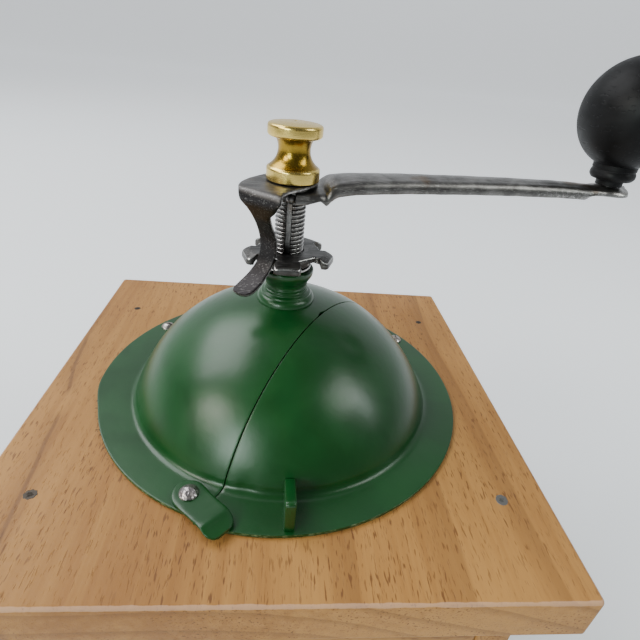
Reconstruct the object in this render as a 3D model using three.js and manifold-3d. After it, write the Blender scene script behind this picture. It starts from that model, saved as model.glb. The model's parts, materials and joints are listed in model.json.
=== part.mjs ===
// Hand cranked box coffee grinder with a domed hopper, in millimetres, +Z up.
// The origin is under the base board, on the spindle's axis. The drawer opens towards -Y and
// the crank arm lies near +X. Pieces that touch keep SEAT_GAP between their faces.
import * as THREE from 'three';
import { mergeVertices } from 'three/addons/utils/BufferGeometryUtils.js';
import Module from 'manifold-3d';

const wasm = await Module();
wasm.setup();

// Gaps and cuts
const SEAT_GAP = 0.3;
const SLIDE_GAP = 0.5;
const CUT_OVERRUN = 2;

// Wooden box
const BOARD_SIZE = 152;
const BASE_THICKNESS = 12;
const TOP_THICKNESS = 14;
const BOARD_EDGE_RADIUS = 3.2;
const BOARD_CORNER_RADIUS = 3.8;
const BOARD_OVERHANG = 9;
const BOX_SIZE = BOARD_SIZE - 2 * BOARD_OVERHANG;
const WALL_HEIGHT = 88;
const WALL_THICKNESS = 10;
const WALL_EDGE_RADIUS = 0.8;
const FRONT_RAIL_HEIGHT = 41;
const NAIL_END_DISTANCE = 19;
const NAIL_HEAD_RADIUS = 2;
const NAIL_HEAD_THICKNESS = 0.8;
const NAIL_SHANK_RADIUS = 1;
const NAIL_LENGTH = 32;
const NAIL_SINK = 0.2;
const BASE_SCREW_HEAD_RADIUS = 3.4;
const BASE_SCREW_HEAD_HEIGHT = 2.2;
const BASE_SCREW_SHANK_RADIUS = 1.6;
const BASE_SCREW_LENGTH = 28;

// Drawer
const DRAWER_FRONT_THICKNESS = 10;
const DRAWER_SIDE_THICKNESS = 6;
const DRAWER_SIDE_HEIGHT = 37;
const DRAWER_BACK_ROOM = 12;
const DRAWER_BOTTOM_THICKNESS = 3;
const PULL_RADIUS = 9.5;
const PULL_NECK_RADIUS = 4.6;
const PULL_NECK_LENGTH = 5;
const PULL_FOOT_RADIUS = 7;
const PULL_FOOT_THICKNESS = 2.4;
const PULL_SCREW_HEAD_RADIUS = 3.6;
const PULL_SCREW_HEAD_HEIGHT = 2;
const PULL_SCREW_SHANK_RADIUS = 1.6;
const PULL_SCREW_GRIP = 9;

// Dome and its door
const DOME_RADIUS = 46.5;
const DOME_HEIGHT = 34.5;
const DOME_ROUNDNESS = 1.76;
const DOME_FOOT_FILLET = 3;
const FLANGE_RADIUS = 60;
const FLANGE_TRIM_DEPTH = 1.8;
const FLANGE_TRIM_AZIMUTH = -125;
const DOME_SHEET = 0.9;
const DOOR_CUT_OFFSET = 13.4;
const DOOR_CUT_AZIMUTH = -33;
const DOOR_PIVOT_RADIUS = 56.2;
const DOOR_PIVOT_AZIMUTH = 32.9;
const LATCH_SCREW_RADIUS = 54;
const LATCH_SCREW_AZIMUTH = -114.8;
const FLANGE_SCREW_RADIUS = 56;
const FLANGE_SCREW_AZIMUTH = 144.6;
const DOME_SCREW_HEAD_RADIUS = 2.5;
const DOME_SCREW_HEAD_HEIGHT = 1.6;
const DOME_SCREW_SHANK_RADIUS = 1.4;
const DOME_SCREW_LENGTH = 11;
const DOME_SCREW_SLOT_WIDTH = 0.6;
const DOME_SCREW_SLOT_DEPTH = 0.7;
const FIN_THICKNESS = 2.8;
const FIN_CENTRE_X = 3;
const FIN_ROOT_TOP = 6.6;
const FIN_KNEE = 10.5;
const FIN_REACH = 59;
const FIN_KNEE_SETBACK = 0.8;
const LATCH_AZIMUTH = -47;
const LATCH_WIDTH = 8.6;
const LATCH_LENGTH = 15;
const LATCH_TIP_LENGTH = 4.2;
const LATCH_SHEET = 1;
const LATCH_BOW = 1.4;
const LATCH_CORNER_RADIUS = 2.6;

// Neck that guides the spindle
const NECK_BEAD_RADIUS = 8.7;
const NECK_BEAD_HEIGHT = 2.6;
const NECK_WAIST_RADIUS = 6.4;
const NECK_CUP_RADIUS = 8;
const NECK_TOP = 45.4;
const NECK_CUP_HEIGHT = 4.2;
const NECK_FLANGE_RADIUS = 8.6;
const NECK_FLANGE_THICKNESS = 2.2;

// Spindle and star nut
const SPINDLE_RADIUS = 4.375;
const THREAD_PITCH = 1.25;
const THREAD_DEPTH = 0.7;
const THREAD_TOP = 67.8;
const GUIDE_RADIUS = 4.2;
const ARM_SQUARE = 5.4;
const STUD_RADIUS = 2.7;
const STUD_TOP = 80;
const KEYWAY_WIDTH = 2;
const KEYWAY_DEPTH = 1.1;
const KEYWAY_AZIMUTH = -97;
const SPRING_SHOULDER_RADIUS = 7.2;
const SPRING_SHOULDER_TOP = 6;
const SPRING_SHOULDER_THICKNESS = 3;
const CONE_SHOULDER_RADIUS = 6;
const CONE_SHOULDER_THICKNESS = 2.2;
const PILOT_RADIUS = 2.7;
const WASHER_RADIUS = 7;
const WASHER_THICKNESS = 0.8;
const STAR_LOBES = 5;
const STAR_TIP_RADIUS = 13.4;
const STAR_LOBE_WIDTH = 7.6;
const STAR_NOTCH_RADIUS = 9.2;
const STAR_NOTCH_WIDTH = 7.2;
const STAR_PLATE = 1.8;
const STAR_TOOTH_DEPTH = 3.1;
const STAR_TOOTH_THICKNESS = 2.2;
const STAR_HUB_RADIUS = 6.8;
const STAR_HUB_HEIGHT = 4.3;
const STAR_EDGE_RADIUS = 0.5;
const STAR_DROOP = 1.1;
const STAR_DROOP_START = 11;
const STAR_FIRST_AZIMUTH = -91;

// Thrust spring inside the dome
const SPRING_WIRE_RADIUS = 0.65;
const SPRING_COIL_RADIUS = 6;
const SPRING_TURNS = 7;

// Crank arm, pawl, brass nut and knob
const ARM_AZIMUTH = 11;
const ARM_LENGTH = 107.5;
const ARM_SHEET = 1.6;
const ARM_RISE = 4;
const ARM_HUB_RADIUS = 5.3;
const ARM_ROOT_HALF_WIDTH = 7.5;
const ARM_EYE_HALF_WIDTH = 6.9;
const ARM_MIDDLE_HALF_WIDTH = 5.6;
const ARM_SKIRT = 3.7;
const ARM_END_SKIRT = 2.1;
const ARM_CORNER_RADIUS = 1.5;
const ARM_CROWN = 0.35;
const ARM_EYE_DROP = 1.3;
const ARM_NOTCH_START = 4.4;
const ARM_NOTCH_END = 9.6;
const ARM_NOTCH_DEPTH = 1.6;
const PAWL_SHEET = 1;
const PAWL_AZIMUTH = 234.7;
const PAWL_PLATE_HALF_WIDTH = 8;
const PAWL_FOLD_REACH = 15.8;
const PAWL_TIP_REACH = 18;
const PAWL_TIP_BELOW_STAR = 4.9;
const NUT_BASE_RADIUS = 7.35;
const NUT_BASE_HEIGHT = 4;
const NUT_WAIST_RADIUS = 4.4;
const NUT_HEAD_RADIUS = 7.4;
const NUT_HEAD_HEIGHT = 2.6;
const NUT_HEIGHT = 15.1;
const NUT_CROWN = 0.9;
const NUT_EDGE = 0.5;
const KNOB_RADIUS = 16.3;
const KNOB_BALL_HEIGHT = 33;
const KNOB_COLLAR_RADIUS = 7.4;
const KNOB_COLLAR_HEIGHT = 3.2;
const KNOB_GROOVE_RADIUS = 6.7;
const KNOB_NECK_RADIUS = 4.1;
const KNOB_NECK_HEIGHT = 1.9;
const KNOB_PIN_RADIUS = 2.3;
const KNOB_PIN_RIVET_RADIUS = 3.3;
const KNOB_PIN_RIVET_HEIGHT = 0.8;
const KNOB_PIN_HEAD_RADIUS = 4;
const KNOB_PIN_HEAD_HEIGHT = 1.4;
const KNOB_RECESS_DEPTH = 2.4;

// Mill works under the dome
const BOWL_RIM_RADIUS = 42.5;
const BOWL_LIP_RADIUS = 47.2;
const BOWL_DEPTH = 28;
const BOWL_FLOOR_RADIUS = 24;
const BOWL_THROAT_RADIUS = 15.5;
const BOWL_SHEET = 1.2;
const RING_RADIUS = 23;
const RING_HEIGHT = 18;
const RING_BORE_TOP_RADIUS = 14.2;
const RING_BORE_BOTTOM_RADIUS = 17.2;
const RING_TOOTH_DEPTH = 0.9;
const RING_TEETH = 16;
const CONE_TOP_RADIUS = 7.6;
const CONE_BOTTOM_RADIUS = 16.6;
const CONE_HEIGHT = 19.8;
const CONE_TOOTH_DEPTH = 1.4;
const CONE_TEETH = 9;
const CONE_TWIST = 50;
const CONE_RISE = 0.5;
const CONE_NUT_FLATS = 10;
const CONE_NUT_HEIGHT = 2.2;
const MILL_SCREWS = 3;
const MILL_SCREW_CIRCLE_RADIUS = 19.6;
const MILL_SCREW_HEAD_RADIUS = 2.6;
const MILL_SCREW_HEAD_HEIGHT = 1.6;
const MILL_SCREW_SHANK_RADIUS = 1.4;
const MILL_SCREW_LENGTH = 8;
const BRIDGE_WIDTH = 12;
const BRIDGE_THICKNESS = 3;
const BRIDGE_DROP = 4.4;
const BRIDGE_FOOT_LENGTH = 5.4;
const BUSH_RADIUS = 4.8;

// Facets
const BOARD_CORNER_STEPS = 3;
const PLANK_CORNER_STEPS = 1;
const EDGE_STEPS = 2;
const DOME_SEGMENTS = 52;
const DOME_RISE_STEPS = 9;
const DOME_INNER_STEPS = 5;
const FILLET_STEPS = 3;
const HOLE_SEGMENTS = 12;
const TURNED_SEGMENTS = 24;
const BALL_STEPS = 7;
const THREAD_SEGMENTS = 12;
const THREAD_STEPS_PER_TURN = 3;
const SPRING_STEPS_PER_TURN = 8;
const SPRING_SIDES = 5;
const BOWL_STEPS = 5;
const BOWL_SEGMENTS = 36;
const BURR_STEPS_PER_TOOTH = 3;
const BURR_ROWS = 3;

// Heights in the frame of the top board's upper face
const FLANGE_TOP = SEAT_GAP + DOME_SHEET;
const WASHER_BOTTOM = NECK_TOP + SEAT_GAP;
const STAR_BOTTOM = WASHER_BOTTOM + WASHER_THICKNESS + SEAT_GAP;
const STAR_TOP = STAR_BOTTOM + STAR_HUB_HEIGHT;
const ARM_HUB_TOP = THREAD_TOP + SEAT_GAP + ARM_SHEET;
const PAWL_BOTTOM = ARM_HUB_TOP + SEAT_GAP;
const NUT_BOTTOM = PAWL_BOTTOM + PAWL_SHEET + SEAT_GAP;
const ARM_EYE_TOP = ARM_HUB_TOP + ARM_RISE - ARM_EYE_DROP;
const RING_TOP = -BOWL_DEPTH - SEAT_GAP;
const RING_BOTTOM = RING_TOP - RING_HEIGHT;
const CONE_BOTTOM = RING_BOTTOM + CONE_RISE;
const CONE_TOP = CONE_BOTTOM + CONE_HEIGHT;
const BRIDGE_FOOT_TOP = RING_BOTTOM - SEAT_GAP;
const BRIDGE_TOP = BRIDGE_FOOT_TOP - BRIDGE_DROP;
const BRIDGE_BOTTOM = BRIDGE_TOP - BRIDGE_THICKNESS;

// Heights in the frame of the part
const WALL_BOTTOM = BASE_THICKNESS + SEAT_GAP;
const WALL_TOP = WALL_BOTTOM + WALL_HEIGHT;
const BOARD_BOTTOM = WALL_TOP + SEAT_GAP;
const BOARD_TOP = BOARD_BOTTOM + TOP_THICKNESS;

// Finishes, one material for each kind of surface
const FINISHES = {
  beech: { color: 0xc79b62, roughness: 0.6, metalness: 0 },
  enamel: { color: 0x1f5c2e, roughness: 0.35, metalness: 0 },
  steel: { color: 0x77746f, roughness: 0.4, metalness: 1 },
  castIron: { color: 0x4c4c4e, roughness: 0.6, metalness: 0.8 },
  brass: { color: 0xc6a04a, roughness: 0.25, metalness: 1 },
  lacquer: { color: 0x17171a, roughness: 0.35, metalness: 0 },
  nickel: { color: 0xa8a6a2, roughness: 0.35, metalness: 1 },
};

const radians = (degrees) => THREE.MathUtils.degToRad(degrees);
const mix = (from, to, share) => from + (to - from) * share;

function polar(radius, azimuth) {
  return new THREE.Vector2(radius * Math.cos(radians(azimuth)), radius * Math.sin(radians(azimuth)));
}

// Solids, cuts and joins

function signedVolume(geometry) {
  const flat = geometry.index ? geometry.toNonIndexed() : geometry;
  const position = flat.attributes.position;
  const [a, b, c] = [new THREE.Vector3(), new THREE.Vector3(), new THREE.Vector3()];
  let volume = 0;
  for (let i = 0; i < position.count; i += 3) {
    a.fromBufferAttribute(position, i);
    b.fromBufferAttribute(position, i + 1);
    c.fromBufferAttribute(position, i + 2);
    volume += a.dot(b.cross(c)) / 6;
  }
  return volume;
}

// One closed, welded geometry with its faces pointing out and no face without area.
function closed(source) {
  const geometry = source.clone();
  geometry.deleteAttribute('normal');
  geometry.deleteAttribute('uv');
  const welded = mergeVertices(geometry, SEAT_GAP * 1e-3);
  const index = welded.index.array;
  const faces = [];
  for (let i = 0; i < index.length; i += 3) {
    const face = [index[i], index[i + 1], index[i + 2]];
    if (new Set(face).size === 3) {
      faces.push(face);
    }
  }
  welded.setIndex(faces.flat());
  if (signedVolume(welded) < 0) {
    welded.setIndex(faces.map((face) => [face[0], face[2], face[1]]).flat());
  }
  return welded;
}

function solidOf(source) {
  const geometry = closed(source);
  return new wasm.Manifold(new wasm.Mesh({
    numProp: 3,
    vertProperties: new Float32Array(geometry.attributes.position.array),
    triVerts: new Uint32Array(geometry.index.array),
  }));
}

function geometryOf(solid) {
  const mesh = solid.getMesh();
  const geometry = new THREE.BufferGeometry();
  geometry.setAttribute('position', new THREE.BufferAttribute(new Float32Array(mesh.vertProperties), 3));
  geometry.setIndex(new THREE.BufferAttribute(new Uint32Array(mesh.triVerts), 1));
  return geometry;
}

function cut(geometry, tools) {
  return geometryOf(tools.reduce((solid, tool) => solid.subtract(solidOf(tool)), solidOf(geometry)));
}

function join(geometry, others) {
  return geometryOf(others.reduce((solid, other) => solid.add(solidOf(other)), solidOf(geometry)));
}

function overlapOf(geometry, other) {
  return geometryOf(solidOf(geometry).intersect(solidOf(other)));
}

// Basic forms

function turned(profile, segments = TURNED_SEGMENTS) {
  const points = profile.map(([radius, height]) => new THREE.Vector2(radius, height));
  points.push(points[0].clone());
  return closed(new THREE.LatheGeometry(points, segments).rotateX(Math.PI / 2));
}

function rod(radius, bottom, top, centre = new THREE.Vector2(), segments = HOLE_SEGMENTS) {
  const geometry = new THREE.CylinderGeometry(radius, radius, top - bottom, segments);
  return geometry.rotateX(Math.PI / 2).translate(centre.x, centre.y, (top + bottom) / 2);
}

function block(low, high) {
  const size = high.map((value, axis) => value - low[axis]);
  const centre = high.map((value, axis) => (value + low[axis]) / 2);
  return new THREE.BoxGeometry(...size).translate(...centre);
}

function slab(width, depth, height, corner, edge, edgeSteps, cornerSteps) {
  const [x, y] = [width / 2 - corner, depth / 2 - corner];
  const outline = new THREE.Shape();
  outline.absarc(x, -y, corner, -Math.PI / 2, 0);
  outline.absarc(x, y, corner, 0, Math.PI / 2);
  outline.absarc(-x, y, corner, Math.PI / 2, Math.PI);
  outline.absarc(-x, -y, corner, Math.PI, Math.PI * 1.5);
  const geometry = new THREE.ExtrudeGeometry(outline, {
    depth: height - 2 * edge,
    bevelThickness: edge,
    bevelSize: edge,
    bevelOffset: -edge,
    bevelSegments: edgeSteps,
    curveSegments: cornerSteps,
  });
  return geometry.translate(0, 0, edge);
}

// A plank: a slab with small edges, standing on its low corner's height.
function plank(low, high) {
  const size = high.map((value, axis) => value - low[axis]);
  const corner = WALL_EDGE_RADIUS * 1.25;
  const geometry = slab(size[0], size[1], size[2], corner, WALL_EDGE_RADIUS, 1, PLANK_CORNER_STEPS);
  return geometry.translate((high[0] + low[0]) / 2, (high[1] + low[1]) / 2, low[2]);
}

function prism(outline, depth) {
  return new THREE.ExtrudeGeometry(new THREE.Shape(outline), { depth, bevelEnabled: false });
}

// Skins a row of outlines, each a counterclockwise list of Vector2, placed in space by place().
function loft(outlines, place) {
  const count = outlines[0].length;
  const positions = [];
  outlines.forEach((outline, station) => {
    outline.forEach((point) => positions.push(...place(point, station).toArray()));
  });
  const indices = [];
  for (let station = 0; station < outlines.length - 1; station += 1) {
    for (let corner = 0; corner < count; corner += 1) {
      const [a, b] = [station * count + corner, station * count + ((corner + 1) % count)];
      indices.push(a, b, b + count, a, b + count, a + count);
    }
  }
  const last = (outlines.length - 1) * count;
  THREE.ShapeUtils.triangulateShape(outlines[0], []).forEach(([a, b, c]) => indices.push(a, c, b));
  THREE.ShapeUtils.triangulateShape(outlines[outlines.length - 1], []).forEach(([a, b, c]) => {
    indices.push(last + a, last + b, last + c);
  });
  const geometry = new THREE.BufferGeometry();
  geometry.setAttribute('position', new THREE.Float32BufferAttribute(positions, 3));
  geometry.setIndex(indices);
  return closed(geometry);
}

// A closed skin of rings round the Z axis. radiusAt(row, turn) and heightAt(row) shape it, and the
// last row joins the first, so the rows run round the wall of a ring.
function ringSkin(rows, segments, radiusAt, heightAt) {
  const positions = [];
  const indices = [];
  for (let row = 0; row < rows; row += 1) {
    for (let k = 0; k < segments; k += 1) {
      const angle = (2 * Math.PI * k) / segments;
      const radius = radiusAt(row, k / segments);
      positions.push(radius * Math.cos(angle), radius * Math.sin(angle), heightAt(row));
      const [next, up] = [(k + 1) % segments, (row + 1) % rows];
      const [a, b] = [row * segments + k, row * segments + next];
      const [c, d] = [up * segments + k, up * segments + next];
      indices.push(a, b, d, a, d, c);
    }
  }
  const geometry = new THREE.BufferGeometry();
  geometry.setAttribute('position', new THREE.Float32BufferAttribute(positions, 3));
  geometry.setIndex(indices);
  return closed(geometry);
}

function screwProfile(headRadius, headHeight, shankRadius, length) {
  return [
    [0, -length],
    [shankRadius * 0.5, -length],
    [shankRadius, -length + 2 * shankRadius],
    [shankRadius, 0],
    [headRadius, 0],
    [headRadius * 0.98, headHeight * 0.35],
    [headRadius * 0.75, headHeight * 0.78],
    [headRadius * 0.35, headHeight],
    [0, headHeight],
  ];
}

function addMesh(group, name, geometry, finish, place = [0, 0, 0], turn = 0) {
  const mesh = new THREE.Mesh(geometry, new THREE.MeshStandardMaterial(FINISHES[finish]));
  mesh.name = name;
  mesh.position.set(...place);
  mesh.rotation.z = radians(turn);
  group.add(mesh);
}

const grinder = new THREE.Group();
const crown = new THREE.Group();
crown.position.z = BOARD_TOP;
grinder.add(crown);

// Wooden box

const WALL_CENTRE = (BOX_SIZE - WALL_THICKNESS) / 2;
const CORNERS = [
  ['front_left', -1, -1],
  ['front_right', 1, -1],
  ['back_left', -1, 1],
  ['back_right', 1, 1],
];
const NAIL_Y = BOX_SIZE / 2 - NAIL_END_DISTANCE;
const fastenerAt = (sideX, sideY) => new THREE.Vector2(sideX * WALL_CENTRE, sideY * NAIL_Y);

function boardOf(thickness) {
  const corners = [BOARD_CORNER_RADIUS, BOARD_EDGE_RADIUS, EDGE_STEPS, BOARD_CORNER_STEPS];
  return slab(BOARD_SIZE, BOARD_SIZE, thickness, ...corners);
}

function buildBaseBoard() {
  const board = boardOf(BASE_THICKNESS);
  const headHole = BASE_SCREW_HEAD_RADIUS + SEAT_GAP;
  const shankHole = BASE_SCREW_SHANK_RADIUS + SEAT_GAP;
  const pocket = BASE_SCREW_HEAD_HEIGHT + 2 * SEAT_GAP;
  const holes = CORNERS.flatMap(([, sideX, sideY]) => [
    rod(headHole, -CUT_OVERRUN, pocket, fastenerAt(sideX, sideY)),
    rod(shankHole, -CUT_OVERRUN, BASE_THICKNESS + CUT_OVERRUN, fastenerAt(sideX, sideY)),
  ]);
  addMesh(grinder, 'base_board', cut(board, holes), 'beech');
  const profile = [
    [0, -BASE_SCREW_HEAD_HEIGHT],
    [BASE_SCREW_HEAD_RADIUS, -BASE_SCREW_HEAD_HEIGHT],
    [BASE_SCREW_HEAD_RADIUS, 0],
    [BASE_SCREW_SHANK_RADIUS, 0],
    [BASE_SCREW_SHANK_RADIUS, BASE_SCREW_LENGTH],
    [0, BASE_SCREW_LENGTH + BASE_SCREW_SHANK_RADIUS],
  ];
  CORNERS.forEach(([corner, sideX, sideY]) => {
    const place = fastenerAt(sideX, sideY);
    const height = SEAT_GAP + BASE_SCREW_HEAD_HEIGHT;
    const screw = turned(profile, HOLE_SEGMENTS);
    addMesh(grinder, `base_screw_${corner}`, screw, 'steel', [place.x, place.y, height]);
  });
}

function buildWalls() {
  const outer = BOX_SIZE / 2;
  const inner = outer - WALL_THICKNESS;
  const nailHole = NAIL_SHANK_RADIUS + SEAT_GAP;
  const screwHole = BASE_SCREW_SHANK_RADIUS + SEAT_GAP;
  const nailDepth = NAIL_LENGTH - TOP_THICKNESS + CUT_OVERRUN;
  const screwTop = SEAT_GAP + BASE_SCREW_HEAD_HEIGHT + BASE_SCREW_LENGTH + BASE_SCREW_SHANK_RADIUS;
  [['wall_left', -1], ['wall_right', 1]].forEach(([name, side]) => {
    const xs = [side * inner, side * outer].sort((a, b) => a - b);
    const wall = plank([xs[0], -outer, WALL_BOTTOM], [xs[1], outer, WALL_TOP]);
    const holes = [-1, 1].flatMap((end) => [
      rod(nailHole, WALL_TOP - nailDepth, WALL_TOP + CUT_OVERRUN, fastenerAt(side, end)),
      rod(screwHole, WALL_BOTTOM - CUT_OVERRUN, screwTop + SEAT_GAP, fastenerAt(side, end)),
    ]);
    addMesh(grinder, name, cut(wall, holes), 'beech');
  });
  const width = inner - SEAT_GAP;
  const back = plank([-width, outer - WALL_THICKNESS, WALL_BOTTOM], [width, outer, WALL_TOP]);
  addMesh(grinder, 'wall_back', back, 'beech');
  const railBottom = WALL_TOP - FRONT_RAIL_HEIGHT;
  const rail = plank([-width, -outer, railBottom], [width, -outer + WALL_THICKNESS, WALL_TOP]);
  addMesh(grinder, 'front_rail', rail, 'beech');
}

const DOME_SCREWS = [
  ['door_pivot_screw', polar(DOOR_PIVOT_RADIUS, DOOR_PIVOT_AZIMUTH)],
  ['latch_screw', polar(LATCH_SCREW_RADIUS, LATCH_SCREW_AZIMUTH)],
  ['flange_screw', polar(FLANGE_SCREW_RADIUS, FLANGE_SCREW_AZIMUTH)],
];

function buildTopBoard() {
  const board = boardOf(TOP_THICKNESS);
  const headHole = NAIL_HEAD_RADIUS + SEAT_GAP;
  const shankHole = NAIL_SHANK_RADIUS + SEAT_GAP;
  const pocket = TOP_THICKNESS - NAIL_SINK - NAIL_HEAD_THICKNESS - SEAT_GAP;
  const above = TOP_THICKNESS + CUT_OVERRUN;
  const rebate = TOP_THICKNESS - BOWL_SHEET - SEAT_GAP;
  const centre = new THREE.Vector2();
  const tools = [
    rod(BOWL_RIM_RADIUS + SEAT_GAP, -CUT_OVERRUN, above, centre, DOME_SEGMENTS),
    rod(BOWL_LIP_RADIUS + SEAT_GAP, rebate, above, centre, DOME_SEGMENTS),
    ...CORNERS.flatMap(([, sideX, sideY]) => [
      rod(headHole, pocket, above, fastenerAt(sideX, sideY)),
      rod(shankHole, -CUT_OVERRUN, above, fastenerAt(sideX, sideY)),
    ]),
    ...DOME_SCREWS.map(([, place]) => (
      rod(DOME_SCREW_SHANK_RADIUS + SEAT_GAP, TOP_THICKNESS - DOME_SCREW_LENGTH - SEAT_GAP, above, place)
    )),
  ];
  addMesh(grinder, 'top_board', cut(board, tools), 'beech', [0, 0, BOARD_BOTTOM]);
  const profile = [
    [0, -NAIL_LENGTH],
    [NAIL_SHANK_RADIUS, -NAIL_LENGTH + NAIL_SHANK_RADIUS * 2],
    [NAIL_SHANK_RADIUS, -NAIL_HEAD_THICKNESS],
    [NAIL_HEAD_RADIUS, -NAIL_HEAD_THICKNESS],
    [NAIL_HEAD_RADIUS, 0],
    [0, 0],
  ];
  CORNERS.forEach(([corner, sideX, sideY]) => {
    const place = fastenerAt(sideX, sideY);
    const nail = turned(profile, HOLE_SEGMENTS);
    addMesh(grinder, `top_nail_${corner}`, nail, 'steel', [place.x, place.y, BOARD_TOP - NAIL_SINK]);
  });
}

// Drawer

function buildDrawer() {
  const outer = BOX_SIZE / 2 - WALL_THICKNESS - SLIDE_GAP;
  const inner = outer - DRAWER_SIDE_THICKNESS;
  const front = -BOX_SIZE / 2;
  const frontBack = front + DRAWER_FRONT_THICKNESS;
  const bottom = WALL_BOTTOM;
  const top = WALL_TOP - FRONT_RAIL_HEIGHT - SLIDE_GAP;
  const back = -front - WALL_THICKNESS - DRAWER_BACK_ROOM;
  const sideTop = bottom + DRAWER_SIDE_HEIGHT;
  const floorTop = bottom + DRAWER_BOTTOM_THICKNESS;
  const middle = (bottom + top) / 2;
  const screwHole = PULL_SCREW_SHANK_RADIUS + SEAT_GAP;

  const panel = plank([-outer, front, bottom], [outer, frontBack, top]);
  const bore = rod(screwHole, -CUT_OVERRUN, DRAWER_FRONT_THICKNESS + CUT_OVERRUN);
  bore.rotateX(-Math.PI / 2).translate(0, front, middle);
  addMesh(grinder, 'drawer_front', cut(panel, [bore]), 'beech');

  [['drawer_side_left', -1], ['drawer_side_right', 1]].forEach(([name, side]) => {
    const xs = [side * inner, side * outer].sort((a, b) => a - b);
    addMesh(grinder, name, plank([xs[0], frontBack + SEAT_GAP, bottom], [xs[1], back, sideTop]), 'beech');
  });
  const width = inner - SEAT_GAP;
  const backLow = [-width, back - DRAWER_SIDE_THICKNESS, bottom];
  addMesh(grinder, 'drawer_back', plank(backLow, [width, back, sideTop]), 'beech');
  const floorLow = [-width, frontBack + SEAT_GAP, bottom];
  const floorHigh = [width, back - DRAWER_SIDE_THICKNESS - SEAT_GAP, floorTop];
  addMesh(grinder, 'drawer_bottom', plank(floorLow, floorHigh), 'beech');

  const ballCentre = PULL_FOOT_THICKNESS + PULL_NECK_LENGTH + PULL_RADIUS * 0.8;
  const ball = [];
  const start = Math.asin(PULL_NECK_RADIUS / PULL_RADIUS);
  for (let i = 0; i <= BALL_STEPS; i += 1) {
    const angle = mix(start, Math.PI, i / BALL_STEPS);
    const radius = i === BALL_STEPS ? 0 : PULL_RADIUS * Math.sin(angle);
    ball.push([radius, ballCentre - PULL_RADIUS * 0.8 * Math.cos(angle)]);
  }
  const pull = turned([
    [0, 0],
    [PULL_FOOT_RADIUS, 0],
    [PULL_FOOT_RADIUS, PULL_FOOT_THICKNESS * 0.6],
    [PULL_NECK_RADIUS, PULL_FOOT_THICKNESS],
    ...ball,
  ], TURNED_SEGMENTS);
  const socket = rod(screwHole, -CUT_OVERRUN, PULL_SCREW_GRIP + SEAT_GAP);
  const pullGeometry = cut(pull, [socket]).rotateX(Math.PI / 2).translate(0, front - SEAT_GAP, middle);
  addMesh(grinder, 'drawer_pull', pullGeometry, 'lacquer');

  const length = DRAWER_FRONT_THICKNESS + 2 * SEAT_GAP + PULL_SCREW_GRIP;
  const profile = screwProfile(PULL_SCREW_HEAD_RADIUS, PULL_SCREW_HEAD_HEIGHT, PULL_SCREW_SHANK_RADIUS, length);
  const screw = turned(profile, HOLE_SEGMENTS).rotateX(-Math.PI / 2);
  addMesh(grinder, 'drawer_pull_screw', screw, 'steel', [0, frontBack + SEAT_GAP, middle]);
}

// Dome, door, fin, latch and screws

const DOME_POWER = 2 / DOME_ROUNDNESS;

// Half of the dome's outer section, as radius for a height above the flange.
function domeRadiusAt(height) {
  const sine = (height / DOME_HEIGHT) ** (1 / DOME_POWER);
  return DOME_RADIUS * Math.cos(Math.asin(sine)) ** DOME_POWER;
}

function domeHeightAt(radius) {
  const cosine = (radius / DOME_RADIUS) ** (1 / DOME_POWER);
  return DOME_HEIGHT * Math.sin(Math.acos(cosine)) ** DOME_POWER;
}

// A run of the rounded section from one radius to another. inset is the distance inside the outer skin.
function domeRun(fromRadius, toRadius, inset, steps) {
  const [radius, height] = [DOME_RADIUS - inset, DOME_HEIGHT - inset];
  const angleAt = (r) => Math.acos((r / radius) ** (1 / DOME_POWER));
  const [start, end] = [angleAt(fromRadius), angleAt(toRadius)];
  return Array.from({ length: steps + 1 }, (_, i) => {
    const angle = mix(start, end, i / steps);
    return [radius * Math.cos(angle) ** DOME_POWER, FLANGE_TOP + height * Math.sin(angle) ** DOME_POWER];
  });
}

const NECK_HOLE_RADIUS = NECK_WAIST_RADIUS + SEAT_GAP;
const FOOT_RADIUS = domeRadiusAt(DOME_FOOT_FILLET);
const FOOT_CENTRE = [FOOT_RADIUS + DOME_FOOT_FILLET, FLANGE_TOP + DOME_FOOT_FILLET];

function footRun(radius) {
  return Array.from({ length: FILLET_STEPS + 1 }, (_, i) => {
    const angle = Math.PI + (Math.PI / 2) * (i / FILLET_STEPS);
    return [FOOT_CENTRE[0] + radius * Math.cos(angle), FOOT_CENTRE[1] + radius * Math.sin(angle)];
  });
}

function wholeDome() {
  const outer = domeRun(NECK_HOLE_RADIUS, FOOT_RADIUS, 0, DOME_RISE_STEPS);
  const inner = domeRun(FOOT_RADIUS - DOME_SHEET, NECK_HOLE_RADIUS, DOME_SHEET, DOME_INNER_STEPS);
  return turned([
    ...outer.slice(0, -1),
    ...footRun(DOME_FOOT_FILLET),
    [FLANGE_RADIUS, FLANGE_TOP],
    [FLANGE_RADIUS, SEAT_GAP],
    ...footRun(DOME_FOOT_FILLET + DOME_SHEET).reverse(),
    ...inner.slice(1),
  ], DOME_SEGMENTS);
}

// A block that covers the door's side of the cut, from the given distance outwards.
function beyondPlane(azimuth, distance) {
  const reach = 2 * FLANGE_RADIUS;
  const side = block([distance, -reach, -reach], [distance + reach, reach, reach]);
  return side.rotateZ(radians(azimuth));
}

function pivotCornerWaste() {
  const pivot = polar(DOOR_PIVOT_RADIUS, DOOR_PIVOT_AZIMUTH);
  const local = pivot.clone().rotateAround(new THREE.Vector2(), -radians(DOOR_CUT_AZIMUTH));
  const swing = local.x - DOOR_CUT_OFFSET - SEAT_GAP / 2;
  const reach = FLANGE_RADIUS;
  const square = block([local.x - reach, local.y, -reach], [local.x, local.y + reach, reach]);
  const rounded = rod(swing, -reach - CUT_OVERRUN, reach + CUT_OVERRUN, local, TURNED_SEGMENTS);
  return cut(square, [rounded]).rotateZ(radians(DOOR_CUT_AZIMUTH));
}

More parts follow.
